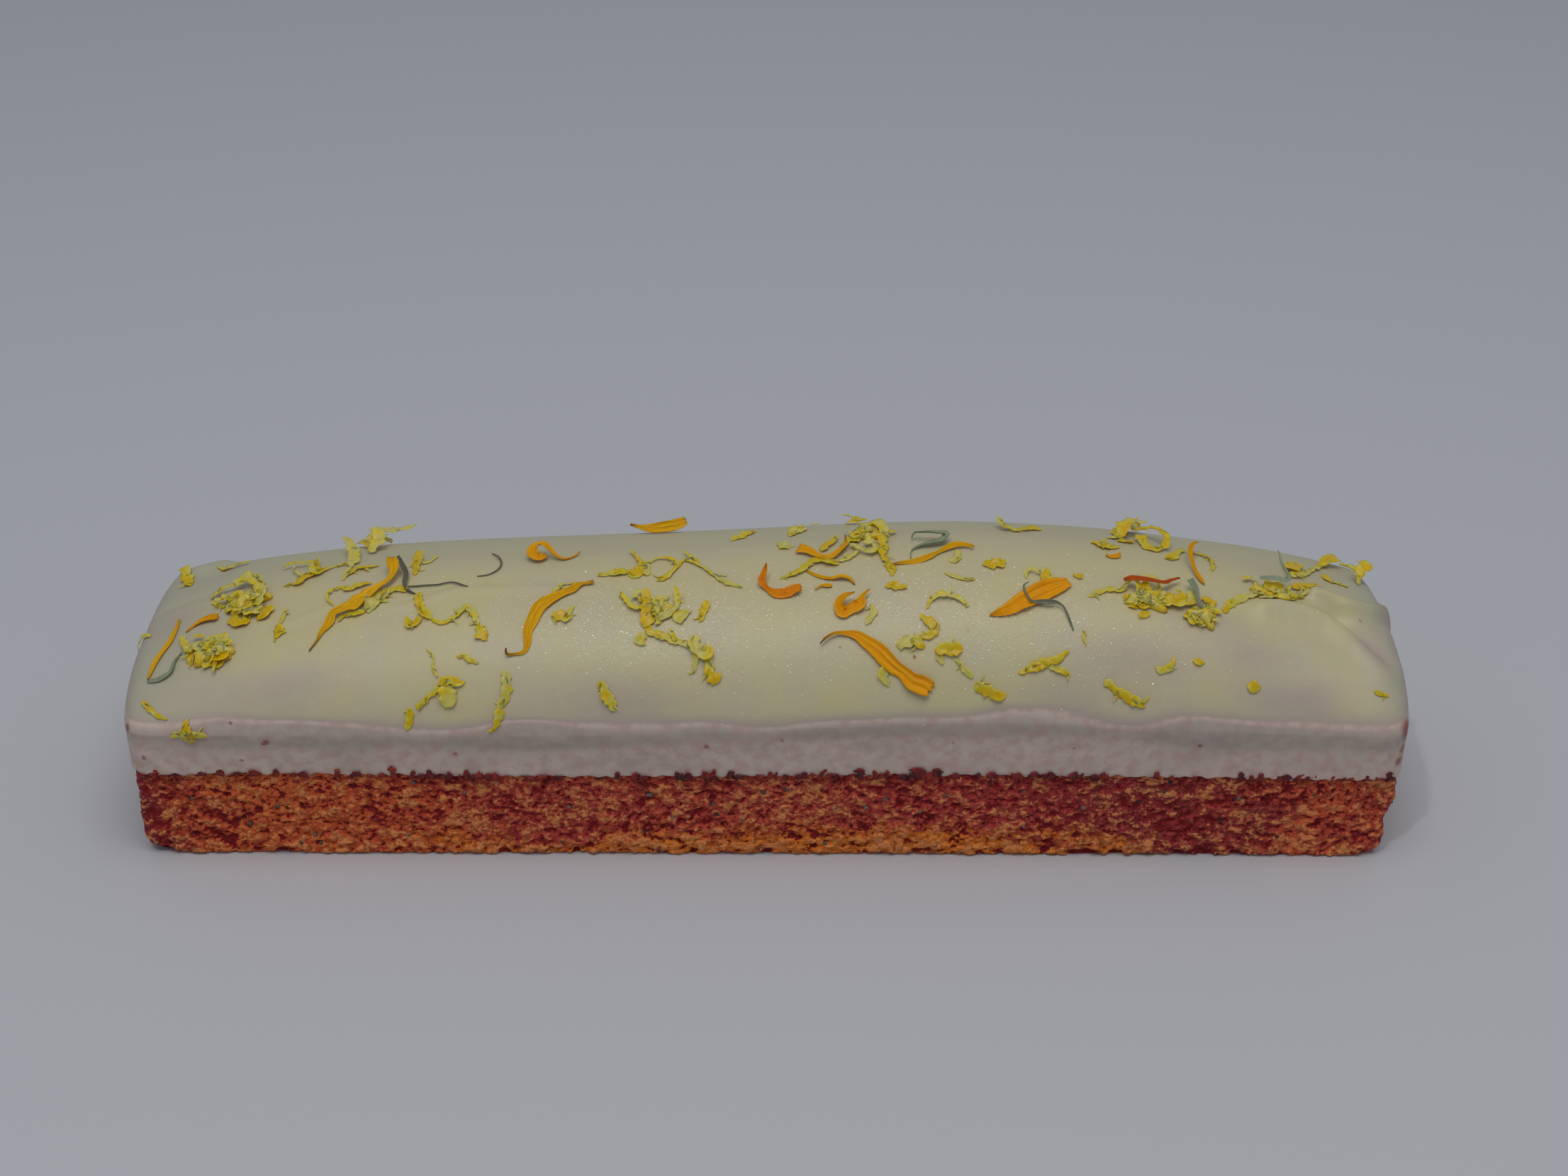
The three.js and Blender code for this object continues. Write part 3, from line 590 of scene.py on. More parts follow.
# Painted shade: greyer towards both ends and on the back slope behind the ridge.
end_shade = add(cream, "ValToRGB", {0: along}, [(0, 1.0), (0.1, 0.0), (0.965, 0.0), (1, 1.0)])
back_slope_shade = add(cream, "MapRange", {0: where.outputs[1], 1: -4 * MM, 2: 8 * MM})
thick_colour = mix_colours(cream, end_shade, mix_colours(cream, back_slope_shade, ivory, BACK_SLOPE_SHADE), END_SHADE)
thin_colour = add(cream, "ValToRGB", {0: blots}, THIN_STOPS)
# Thinning greys the icing, partly as painted shade; the thinnest grey is a painted shadow line.
thinning_and_shade = add(cream, "MapRange", {0: thin_and_shade_here, 2: 0.55})
see_through = add(cream, "MapRange", {0: thin_and_shade_here, 1: 0.55, 2: 0.75})
thinnest_and_shadow = add(cream, "MapRange", {0: thin_and_shade_here, 1: 0.62, 2: 0.95, 4: 0.65})
greying = mix_colours(cream, thinning_and_shade, thick_colour, THINNING_AND_SHADE_GREY)
creamy = mix_colours(cream, thinnest_and_shadow, mix_colours(cream, see_through, greying, thin_colour), THINNEST_AND_SHADOW)
ragged_speck = add(cream, "Math", {0: specks, 1: uneven}, operation="ADD")
speck_mask = add(cream, "ValToRGB", {0: ragged_speck}, [(0.35, 0.0), (0.75, 0.8)])
ripples = add(cream, "Bump", {"Height": clouding, "Strength": 0.5, "Distance": 0.6 * MM})
pores = add(cream, "TexNoise", {"Vector": place, "Scale": 1 / (0.5 * MM), "Detail": 2.0})
dull = add(cream, "Bump", {"Height": pores, "Strength": 0.15, "Distance": 0.05 * MM, "Normal": ripples})
set_shader(cream, Base_Color=mix_colours(cream, speck_mask, creamy, SPECK), Normal=dull)
fit_out(icing, cream, "icing", "icing")

# Condensation: beads on the icing, thickest along the middle of its front slope, near white as a painted
# glint.
# Each is flat sided, so that a few of them flash in the light. They lie in three overlapping drifts.
BEADS = 9600
GIRTH_STEPS = 180
SLOPE_STEP = 0.4


def pick(values, index):
    """The value at an index on the last axis, for each row of values."""
    return np.take_along_axis(values, index, -1)[..., 0]


def on_icing(x, girth, lift):
    """Points at a distance over the icing from its ridge, front negative, raised by lift, and the ways out:
    the section at x is walked in small steps, and past the widest line the point goes down the band."""
    x, girth, lift = np.broadcast_arrays(np.asarray(x, float), girth, lift)
    sign = np.where(girth < 0, -1.0, 1.0)
    v = np.sin(np.linspace(0, np.pi / 2, GIRTH_STEPS + 1)) * sign[..., None]
    width = ICING_HALF_WIDTH * round_off(x / ICING_HALF_LENGTH, ICING_CORNER)
    y = v * width[..., None]
    z = dome_height(x[..., None], v)
    step = np.hypot(np.diff(y), np.diff(z))
    walked = np.concatenate([np.zeros((*x.shape, 1)), np.cumsum(step, -1)], -1)
    past = np.clip(np.abs(girth) - walked[..., -1], 0, None)
    k = np.clip((walked < np.abs(girth)[..., None]).sum(-1) - 1, 0, GIRTH_STEPS - 1)[..., None]
    part = np.clip((np.abs(girth) - pick(walked, k)) / np.maximum(pick(step, k), 1e-9), 0, 1)
    y_step = pick(y, k + 1) - pick(y, k)
    z_step = pick(z, k + 1) - pick(z, k)
    here_y = pick(y, k) + part * y_step
    here_z = pick(z, k) + part * z_step
    slope_y = z_step / np.where(np.abs(y_step) < 1e-6, 1e-6, y_step)
    here_v = np.clip(here_y / np.maximum(width, 1e-6), -0.999, 0.999)
    slope_x = (dome_height(x + SLOPE_STEP, here_v) - dome_height(x - SLOPE_STEP, here_v)) / (2 * SLOPE_STEP)
    out = np.stack([-np.clip(slope_x, -3, 3), -slope_y, np.ones_like(x)], -1)
    sideways = np.stack([0 * x, sign, 0 * x], -1)
    out = np.where((past > 0)[..., None], sideways, out / np.linalg.norm(out, axis=-1, keepdims=True))
    point = np.stack([x, here_y - sign * band_inset(x, past), here_z - past], -1)
    return point + out * lift[..., None], out


draw = np.random.default_rng(7)
third = BEADS // 3
bead_x = [draw.triangular(-95, 20, 119, third), draw.normal(-22, 13, third), draw.normal(38, 20, third)]
bead_girth = [draw.normal(-18, 7.5, third), draw.normal(-21, 4.5, third), draw.normal(-21, 5.5, third)]
bead_radius = 0.07 + 0.07 * draw.random((BEADS, 1)) + 0.12 * draw.random((BEADS, 1)) ** 6
bead_place, _ = on_icing(np.concatenate(bead_x), np.concatenate(bead_girth), 0.0)
around = np.arange(4) * np.pi / 2
octahedron = np.array([*np.stack([np.cos(around), np.sin(around), 0 * around], -1), [0, 0, -1], [0, 0, 1]])
cut_sides = [(1, 0, 4), (2, 1, 4), (3, 2, 4), (0, 3, 4), (0, 1, 5), (1, 2, 5), (2, 3, 5), (3, 0, 5)]
no_quads = np.zeros((0, 4), int)
bead_shape = (octahedron, no_quads, np.array(cut_sides))
bead_points, bead_faces = repeat(bead_shape, bead_place, bead_radius, random_turns(draw, BEADS))
beads = new_mesh("condensation", bead_points, bead_faces[1:])
beads.data.shade_flat()

# Beads of condensation: near white, which is a painted glint, and shiny on their flat sides.
white_glint_beads = new_material("condensation_painted_glint", Roughness=0.22, IOR=2.2)
place = add(white_glint_beads, "TexCoord").outputs["Object"]
glint_white_tone = add(white_glint_beads, "TexNoise", {"Vector": place, "Scale": 1 / (0.8 * MM)})
set_shader(white_glint_beads, Base_Color=add(white_glint_beads, "ValToRGB", {0: glint_white_tone}, [(0.4, "#e6e0c0"), (0.6, "#fbf8e4")]))
fit_out(beads, white_glint_beads, "icing")

# Lemon zest: shreds rasped from the skin with some white pith on them, damp, and dropped on the icing.
# Each row is a shred: how pale its two ends are, and its route. A row of a route is a place along the cake,
# a distance over the icing from its ridge with the front negative, a height over the icing, and a width.
SHREDS = [
    (0.8, 0.1, [(-125.3, 17.5, 1, 0.4), (-124.7, 20.5, 0.8, 0.8), (-123, 13.5, 0.4, 2),
        (-121.5, 10, 0.1, 1.6)]),
    (0.8, 0.4, [(-117.5, 17.5, 0.1, 0.5), (-115, 16, 0.4, 1.3), (-112.5, 16.5, 0.5, 1),
        (-110, 15.5, 0.6, 0.7)]),
    (0.7, 0.5, [(-129, -7, 0.5, 0.3), (-129, -5.5, 0.4, 1), (-127.5, -6.5, 0.3, 0.9),
        (-126, -8, 0.2, 0.8)]),
    (0.7, 0, [(-97, -9.5, 0.5, 0.3), (-97.5, -11.5, 0.2, 0.9), (-98, -14, 0.1, 1),
        (-98, -16.5, 0.1, 1.8), (-98.5, -18, 0.1, 0.3)]),
    (0.2, 0.5, [(-98, -16.5, 0.1, 0.8), (-97, -16.5, 0.3, 0.6), (-96, -16.5, 0.5, 0.2)]),
    (0.3, 0.4, [(-124, -27.5, 0.2, 1), (-122, -29.5, 0.1, 0.9), (-120.5, -31, 0.1, 0.8),
        (-118.5, -32, 0.1, 0.5)]),
    (0.3, 0.7, [(-114.5, -32.5, 0.3, 0.3), (-115, -34, 0.3, 1.5), (-114, -35.5, 0.3, 1.3),
        (-114, -37, 0.3, 1.6), (-116, -35.5, 0.2, 1.2), (-118, -35.5, 0.1, 0.4)]),
    (0.3, 0.5, [(-114.5, -36, 0.3, 1.2), (-112, -36, 0.2, 1.2), (-110.5, -36.5, 0.2, 0.3)]),
    (0.2, 0.3, [(-101, 7, 0.5, 0.3), (-99.5, 7.5, 1, 0.6), (-97, 7, 1, 0.5), (-94.5, 7, 0.8, 0.9),
        (-93.5, 3.5, 0.6, 1.9), (-93, 2, 0.3, 2), (-91.5, 3, 0.3, 0.9), (-89, 4.5, 0.2, 0.5),
        (-86.5, 5, 0.2, 0.3)]),
    (0.8, 0.5, [(-98.5, 6.5, 1, 0.3), (-97.5, 3.5, 0.8, 0.4), (-95.5, 1.5, 0.6, 0.5),
        (-94, 2.5, 0.6, 0.4)]),
    (0, 0.1, [(-93, 2, 0.3, 1.6), (-94.5, 1, 0.4, 1.7), (-95.5, 0, 0.4, 1.8), (-96.5, -1, 0.2, 1.6),
        (-98, -0.5, 0.1, 0.7), (-99.5, -1, 0.1, 0.3)]),
    (0.3, 0, [(-93.5, 8.5, 1.2, 0.2), (-93.5, 5.5, 0.8, 0.9), (-93.5, 4, 0.5, 1.5)]),
    (0.9, 0.8, [(-89, 14.5, 3, 0.8), (-87.5, 12, 2.4, 1.3), (-86.5, 9.5, 1.2, 2.4), (-86, 6, 0.5, 2.3),
        (-86, 3, 0.3, 1)]),
    (0.9, 0.6, [(-86, 3, 0.3, 1), (-86.5, 0, 0.2, 1), (-87, -2, 0.1, 0.7)]),
    (0.2, 0.1, [(-86, 0, 0.2, 1), (-84.5, 2, 0.3, 1.4), (-82.5, 2, 0.3, 1.2), (-80, 2.5, 0.2, 0.3)]),
    (0.1, 0, [(-87.5, 20, 0.8, 0.8), (-85.5, 17, 0.9, 1.4), (-84, 15.5, 0.6, 1.8),
        (-82.5, 12.5, 0.2, 1.2)]),
    (0.8, 0.9, [(-85, 17, 1, 1.5), (-84.5, 20, 2.2, 2.4), (-83.5, 20, 3.2, 3), (-82.5, 20, 3.4, 3),
        (-80, 18, 3, 2.2), (-77.5, 17.5, 3, 1.6), (-76, 19.5, 3.4, 1.5), (-74.5, 19.5, 3.6, 1.1)]),
    (0.6, 0.9, [(-83, 10, 0.4, 1.2), (-82, 12.5, 1.8, 2.6), (-81.5, 14.5, 3.4, 3.2),
        (-82, 16, 4.2, 1.8)]),
    (0.9, 0.9, [(-83, 20, 2, 1.5), (-81.5, 20, 1, 1.6), (-80, 18.5, 0.3, 1)]),
    (0, 0, [(-72.5, 8, 0.6, 1.4), (-72, 4, 0.4, 1.5), (-72, 1.5, 0.2, 1.3), (-72, -2.5, 0.1, 1.2)]),
    (0.7, 0.8, [(-71, 1.5, 0.3, 0.8), (-69.5, 2.5, 0.2, 0.5), (-68.5, 5.5, 0.3, 0.8)]),
    (0.3, 0.4, [(-87.5, -11, 0.3, 0.4), (-89, -8.5, 0.4, 0.4), (-89, -6, 0.4, 0.5), (-87, -5, 0.4, 0.5),
        (-85, -6, 0.4, 1.2), (-83, -5, 0.4, 1.3), (-80.5, -4.5, 0.3, 0.7)]),
    (0.9, 0.8, [(-81, -12.5, 0.2, 1.8), (-79.5, -12, 0.3, 3), (-78, -9.5, 0.3, 2.8),
        (-77, -7, 0.3, 1.8)]),
    (0.2, 0.2, [(-78, -11.5, 0.2, 1), (-77, -9, 0.3, 1.3), (-75.5, -7.5, 0.3, 1.2),
        (-73, -8.5, 0.2, 1.2)]),
    (0.4, 0.3, [(-86, -15.5, 0.1, 0.6), (-84.5, -14, 0.2, 1.2), (-82.5, -14, 0.2, 1.3),
        (-80.5, -13.5, 0.2, 0.8)]),
    (0, 0.4, [(-70, -9.5, 0.5, 1.2), (-70, -12.5, 0.4, 1.4), (-68.5, -15.5, 0.3, 1.5),
        (-67, -17, 0.2, 1)]),
    (0.4, 0.8, [(-67, -17, 0.2, 1), (-64.5, -18, 0.2, 1), (-62, -16.5, 0.3, 1.1),
        (-60, -14.5, 0.4, 1.3), (-58.5, -16.5, 0.4, 1.3), (-57.5, -19, 0.3, 1.2)]),
    (0.5, 0, [(-57.5, -19, 0.3, 1.2), (-56.5, -21.5, 0.3, 2), (-55.5, -22.5, 0.1, 0.4)]),
    (0, 0.1, [(-72, -16, 0.3, 0.4), (-71, -18.5, 0.3, 1.8), (-70, -18, 0.3, 1.6),
        (-69, -16.5, 0.4, 1.2)]),
    (0.9, 0.4, [(-67.5, -23.5, 0.1, 0.3), (-66, -25.5, 0.1, 0.5), (-66, -27.5, 0.2, 0.4),
        (-65, -29.5, 0.2, 0.5)]),
    (0.5, 0.9, [(-63, -30, 0.3, 1.6), (-63, -32, 0.5, 2.8), (-63, -34, 0.6, 2.6),
        (-63.5, -35.5, 0.4, 1.4)]),
    (0, 0.3, [(-65, -31, 0.2, 0.7), (-63.5, -30.5, 0.4, 1.5), (-62, -30.5, 0.4, 1.6),
        (-60.5, -31, 0.3, 1.3), (-59.5, -30.5, 0.2, 0.3)]),
    (0.6, 0.2, [(-64.5, -31.5, 0.2, 1.1), (-66.5, -33, 0.2, 1.1), (-68, -34.5, 0.2, 1.1),
        (-69, -35.5, 0.2, 1.3)]),
    (0.1, 0.5, [(-70.5, -35, 0.2, 0.3), (-70.5, -36.5, 0.2, 1.5), (-70.5, -38, 0.2, 1.2),
        (-71, -39.5, 0.2, 1.2)]),
    (0.4, 0.5, [(-61.5, -25.5, 0.1, 0.4), (-60, -25.5, 0.1, 0.9), (-58.5, -26.5, 0.1, 0.8),
        (-57, -27, 0.1, 0.5)]),
    (1, 0.2, [(-52, -28.5, 0, 0.8), (-51.5, -30.5, 0.1, 1.9), (-51.5, -33.5, 0.1, 1.5),
        (-52.5, -35.5, 0.1, 1.2), (-53, -38, 0.2, 1.4), (-53.5, -39.5, 0.2, 0.9),
        (-54.5, -41, 0.2, 0.3)]),
    (0, 0.6, [(-43, -17.5, 0.2, 1.2), (-41.5, -17.5, 0.3, 2), (-39.5, -18, 0.2, 1.8),
        (-39.5, -17, 0.3, 1), (-38.5, -15, 0.3, 0.4)]),
    (0.2, 0.7, [(-33, -31, 0.1, 0.8), (-32, -33, 0.2, 1.6), (-31, -35, 0.2, 1.9), (-30, -37, 0.1, 1)]),
    (0.6, 0.7, [(-45.5, -12.5, 0.2, 0.2), (-43.5, -12.5, 0.2, 0.5), (-42.5, -10.5, 0.3, 0.8),
        (-41, -9, 0.2, 0.7), (-38.5, -8, 0.2, 0.5)]),
    (0.7, 0.2, [(-34.5, -5.5, 0.1, 0.9), (-33, -5.5, 0.1, 0.9), (-30.5, -5, 0.2, 1.4),
        (-28.5, -5, 0.3, 1.8)]),
    (0, 0.3, [(-28.5, -5, 0.3, 1.8), (-26.5, -5, 0.3, 2.3), (-25.5, -3, 0.4, 1.6), (-26.5, 0, 0.5, 0.8),
        (-28.5, 3.5, 0.8, 0.2)]),
    (0.9, 0.9, [(-24.5, -1, 0.3, 0.9), (-24.5, -6, 0.2, 1.2)]),
    (0.4, 0.3, [(-24.5, -2, 0.3, 0.3), (-22, 0, 0.5, 0.5), (-20, -0.5, 0.6, 0.7), (-18.5, -3, 0.5, 0.8),
        (-19.5, -5.5, 0.4, 1.1), (-21, -7, 0.2, 1.4), (-22, -8, 0.1, 0.5)]),
    (0.4, 0.9, [(-18.5, -4, 0.2, 0.5), (-17, -1, 0.3, 0.6), (-14, -3, 0.3, 0.8), (-11, -6.5, 0.2, 1),
        (-8, -9.5, 0.1, 1.1), (-5, -11, 0.1, 0.4)]),
    (0.4, 0.3, [(-17.5, 2, 0.8, 0.2), (-16, 0.5, 0.4, 0.7), (-14, -2, 0.2, 0.5)]),
    (0.8, 0.6, [(-14.5, -22.5, 0.6, 1.2), (-14, -25, 0.5, 2.6), (-12.5, -26, 0.4, 2.8),
        (-11.5, -24.5, 0.6, 1.6)]),
    (0.7, 0.8, [(-13.5, -25.5, 0.2, 1.2), (-14, -27.5, 0.1, 1), (-14.5, -30, 0.1, 0.4)]),
    (0.7, 0, [(-12, -26.5, 0.2, 1.2), (-11.5, -29, 0.3, 1.6), (-10.5, -31, 0.3, 2.2),
        (-9.5, -32, 0.2, 1.6)]),
    (0.1, 0.1, [(-12, -14.5, 0.4, 1.1), (-12.5, -16.5, 0.3, 1.4), (-13, -18.5, 0.2, 1),
        (-13.5, -19.5, 0.1, 0.4)]),
    (0.4, 0.3, [(2.5, -9, 0.1, 0.3), (5, -8, 0.2, 1.2), (7, -7, 0.3, 1.3), (9, -4.5, 0.3, 1.5),
        (11, -4, 0.3, 1.8), (13, -5, 0.3, 1.8), (14.5, -5.5, 0.2, 1)]),
    (0, 0, [(14.5, 5, 1, 0.3), (13.5, 2.5, 0.7, 1), (12, 1, 0.5, 1.6), (11, -0.5, 0.3, 1)]),
    (0.9, 0.9, [(14.5, -4.5, 0.3, 0.8), (16.5, -3.5, 0.4, 1), (18.5, -1.5, 0.6, 0.6)]),
    (0.1, 0.5, [(16.5, 16.5, 0.2, 1.5), (18, 16, 0.6, 2), (19, 17.5, 0.8, 1.5), (20.5, 15, 0.8, 0.8)]),
    (0.3, 0.3, [(15.5, 16, 2, 0.3), (17.5, 19, 1.4, 0.4), (18.5, 18, 1, 0.5)]),
    (0.4, 0.4, [(9, 19, 0.2, 1), (11, 19, 0.2, 0.6)]),
    (0.9, 0.5, [(7.5, 14.5, 0.6, 0.4), (7, 11, 0.3, 1.5), (6, 10.5, 0.2, 2), (4.5, 8, 0.1, 1)]),
    (0.9, 1, [(2, 4.5, 0.1, 1), (3.5, 2.5, 0.1, 1.8), (4.5, 1.5, 0.1, 0.6)]),
    (0.1, 0.2, [(23.5, -13, 0.1, 0.6), (25, -13, 0.2, 1.5), (27, -13.5, 0.2, 1.2),
        (28, -13, 0.1, 0.4)]),
    (0.9, 0.6, [(35.5, -9.5, 0.1, 0.3), (37, -10.5, 0.1, 0.9), (39.5, -11.5, 0.1, 0.9),
        (41.5, -11.5, 0.1, 0.6)]),
    (0.8, 0.9, [(38.5, -2, 0.5, 0.6), (38.5, -4.5, 0.3, 1.4), (37, -6, 0.1, 1.4)]),
    (0.6, 0.8, [(31.5, -19, 0.2, 0.4), (33, -16.5, 0.5, 0.9), (35, -16, 0.8, 1.2),
        (37.5, -16.5, 0.6, 1), (40, -18.5, 0.2, 0.4)]),
    (0, 0.2, [(30.5, -20, 0.4, 0.7), (31.5, -21.5, 0.3, 1.6), (32, -22, 0.3, 1.9),
        (33, -23.5, 0.3, 1.6), (32, -24.5, 0.3, 1.6), (30, -24.5, 0.2, 1.4)]),
    (0.2, 0.2, [(33, -23.5, 0.3, 1), (34, -22, 0.4, 0.3)]),
    (0.5, 0.1, [(28.5, -25, 0.1, 1.6), (30, -26.5, 0.3, 1.8), (31, -27, 0.1, 1.6)]),
    (1, 0.7, [(25.5, -26.5, 0, 1.5), (27.5, -26, 0.1, 2.2), (29, -25.5, 0.1, 2)]),
    (0.3, 0.1, [(33, -27.5, 0.2, 1), (34.5, -27.5, 0.2, 2.2), (36.5, -27.5, 0.3, 2.4),
        (38.5, -27.5, 0.2, 2)]),
    (0.9, 1, [(34, -28.5, 0.1, 1.5), (34.5, -30.5, 0.1, 0.8)]),
    (1, 0.9, [(37, -29, 0.1, 0.5), (38.5, -31, 0.1, 1), (40.5, -33, 0.1, 1.1)]),
    (0.5, 0, [(41, -34, 0.1, 1.6), (42.5, -35, 0.2, 2), (44.5, -36, 0.2, 2), (46, -36.5, 0.2, 1.4),
        (47, -36, 0.1, 0.6)]),
    (0.9, 0.9, [(20.5, -17.5, 0.3, 0.6), (21, -19.5, 0.2, 1.3), (20, -21, 0.1, 1),
        (19.5, -22, 0.1, 0.3)]),
    (1, 1, [(24, -30.5, 0, 1.4), (23, -32, 0.1, 1.9), (23.5, -33.5, 0.1, 1.3), (24, -34.5, 0.1, 0.5)]),
    (0.1, 0.1, [(44, -5.5, 0.2, 0.6), (45, -7, 0.2, 2), (46, -7, 0.4, 2.4), (47, -7, 0.3, 1.6),
        (48, -5.5, 0.6, 0.3)]),
    (0.6, 0.4, [(52, -11, 0.1, 0.3), (52, -9.5, 0.5, 0.5), (53, -8.5, 0.9, 0.7), (53.5, -9, 0.9, 0.4),
        (55, -9.5, 0.7, 0.5)]),
    (0, 0.1, [(56, -8, 0.9, 0.5), (56, -9.5, 0.6, 1.2), (56, -10.5, 0.3, 1.8), (57.5, -11, 0.2, 1.2),
        (58, -10, 0.1, 0.4)]),
    (0, 0, [(61.5, -8.5, 0.1, 0.6), (62.5, -9.5, 0.2, 1.1), (63.5, -8.5, 0.1, 0.7)]),
    (0.8, 0.5, [(64, -15, 0.1, 0.8), (66, -13.5, 0.1, 1.1), (68.5, -12.5, 0.2, 1.2),
        (70.5, -12.5, 0.3, 1.3), (72, -11.5, 0.5, 1)]),
    (0.6, 0.6, [(62.5, -22.5, 0.1, 0.3), (62.5, -24, 0.1, 0.5), (63, -26, 0.1, 0.3)]),
    (0, 0.3, [(49.5, -32, 0.1, 0.8), (52, -31, 0.2, 1.4), (54, -30, 0.2, 1.9), (57, -29, 0.3, 1.3),
        (59, -27.5, 0.4, 0.7), (59.5, -27, 0.8, 0.2)]),
    (0.7, 0.2, [(55.5, -30.5, 0.2, 1.2), (57.5, -31, 0.2, 1.2), (59.5, -32, 0.1, 0.8)]),
    (0.6, 0.1, [(66.5, -32.5, 0.2, 1.4), (68.5, -34, 0.2, 1.5), (70, -35, 0.2, 1.5),
        (72.5, -36, 0.2, 1.7), (74.5, -37, 0.1, 0.8)]),
    (0.6, 0.3, [(76.5, -29, 0.1, 0.5), (78, -29.5, 0.1, 1.4), (79.5, -28.5, 0.2, 1.2),
        (80.5, -26.5, 0.3, 0.4)]),
    (0.1, 0.1, [(84, -27, 0.1, 0.7), (85, -27, 0.2, 1), (86.5, -27, 0.1, 0.5)]),
    (0, 0, [(95, -30, 0.1, 1.2), (96, -30.5, 0.3, 2), (97.5, -30.5, 0.1, 1.2)]),
    (0.1, 0.1, [(120.5, -30.5, 0.1, 0.6), (122, -30.5, 0.1, 0.8), (123.5, -30.5, 0.1, 0.5)]),
    (0.4, 0.2, [(67, 5.5, 0.1, 1.2), (68.5, 3.5, 0.2, 2), (70, 3, 0.2, 1.8), (72.5, 3.5, 0.2, 0.3)]),
    (0.2, 0.2, [(69.5, 6, 0.8, 0.5), (69, 3.5, 0.3, 1.4)]),
    (0, 0.2, [(72.5, 11, 0.3, 1.6), (74, 14, 0.8, 2.4), (75, 15.5, 1.4, 2), (76.5, 18, 1.2, 1)]),
    (0.3, 0.2, [(73, 8.5, 0.4, 1.4), (74, 11, 1.6, 2.8), (75.5, 13, 2.8, 3), (77, 14.5, 3.2, 1.6)]),
    (0, 0, [(72.5, 7.5, 0.2, 1.2), (74, 7, 0.3, 1.4), (76, 7, 0.3, 1.2)]),
    (0.9, 1, [(76.5, 13.5, 1, 1.2), (78, 18, 2.2, 1.8), (78.5, 15, 2.4, 1.2)]),
    (0.3, 0.1, [(76.5, 11.5, 1.4, 1.2), (78, 11.5, 2, 1.2), (80, 11.5, 2.4, 1.2), (81.5, 9, 2.4, 1.3),
        (82.5, 7, 1.7, 1.3), (81.5, 4.5, 0.6, 1.4)]),
    (0.1, 0.4, [(81.5, 4.5, 0.6, 1.2), (79.5, 4, 0.2, 1.3), (78, 5, 0.3, 1.4), (77.5, 7, 0.5, 1.6),
        (77.5, 10, 0.9, 1.8)]),
    (0.9, 0.9, [(73, 10, 0.4, 1.4), (71, 9, 0.2, 1), (70.5, 9, 0.1, 0.4)]),
    (0.1, 0.5, [(81.5, 1, 0.2, 1.2), (83.5, 2, 0.3, 1.4), (84.5, 4, 0.4, 1), (86, 6, 0.4, 1)]),
    (0.6, 0.3, [(87, 5.5, 0.3, 0.6), (89, 5, 0.3, 0.7), (91, 4.5, 0.3, 0.9), (91.5, 2, 0.2, 0.9),
        (91, -0.5, 0.1, 0.6)]),
    (0, 0.1, [(107.5, 7, 1, 1.2), (109.5, 8, 0.7, 2.6), (111.5, 11, 0.5, 2)]),
    (0.5, 0.6, [(108.5, 4.5, 0.5, 1.8), (111, 6.5, 0.4, 1.6), (112.5, 8, 0.3, 1.2), (115.5, 12, 0.3, 1),
        (119.5, 17, 0.3, 1)]),
    (0.1, 0.1, [(116.5, 13, 0.4, 0.8), (118, 15.5, 1.2, 2.2), (120, 17, 1.8, 2.4),
        (122, 18.5, 1.4, 1)]),
    (0.8, 0.3, [(123, 22, 0.3, 1.4), (125, 20.5, 0.4, 1.4), (126.5, 17.5, 0.2, 1.2)]),
    (0.1, 0.8, [(116.5, 9.5, 0.2, 1.2), (117.5, 7.5, 0.2, 1.3), (119.5, 7, 0.1, 0.8),
        (121.5, 6.5, 0.1, 0.6)]),
    (0.6, 0.1, [(124.5, 9.5, 0.1, 0.7), (124, 10.5, 1.6, 1.4), (124.5, 12, 3, 2.4),
        (125.3, 13, 3.8, 2.6), (126, 13.5, 3.9, 1.6)]),
    (0.5, 0.3, [(-7.5, 7.5, 0.1, 0.8), (-5, 10, 0.2, 1.4), (-2.5, 12.5, 0.1, 0.6)]),
    (0.9, 0.6, [(48, 12, 2, 0.8), (48.5, 9.5, 1, 1.6), (50.5, 9, 0.3, 1.8), (52.5, 8.5, 0.2, 1)]),
    (0.1, 0.1, [(52.5, 9, 0.3, 1), (55, 10.5, 0.3, 1.4), (57, 10.5, 0.2, 0.9)]),
]
ZEST_THICK = 0.26
ZEST_ACROSS = 7
ZEST_LIFT = 0.1
TORN_SPREAD = 1.12
WISP_EVERY = 3.0
WISP_THICK = 0.16
# No shred passes the ends, the sides, the foot and the highest point of the cake.
REACH_LOW = (-129.9, -31.95, 0)
REACH_HIGH = (129.9, 31.8, 58.4)


def smooth_route(rows, steps):
    """Equal steps along a smooth curve through a route's rows, a cubic for each stretch, and its length."""
    rows = np.asarray(rows, float)
    gaps = np.linalg.norm(np.diff(rows[:, :3], axis=0), axis=1)
    at = np.concatenate([[0], np.cumsum(gaps)])
    slopes = np.gradient(rows, at, axis=0)
    along = np.linspace(0, at[-1], steps)
    k = np.clip(np.searchsorted(at, along, side="right") - 1, 0, len(gaps) - 1)
    t = ((along - at[k]) / gaps[k])[:, None]
    gap = gaps[k][:, None]
    ends = (2 * t**3 - 3 * t**2 + 1) * rows[k] + (3 * t**2 - 2 * t**3) * rows[k + 1]
    return ends + gap * ((t**3 - 2 * t**2 + t) * slopes[k] + (t**3 - t**2) * slopes[k + 1]), at[-1]


def lay_route(rows, steps, lift):
    """A smooth route laid on the icing and raised by lift: its rows, length, points and ways out."""
    path, length = smooth_route(rows, steps)
    return path, length, *on_icing(path[:, 0], path[:, 1], path[:, 2] + lift)


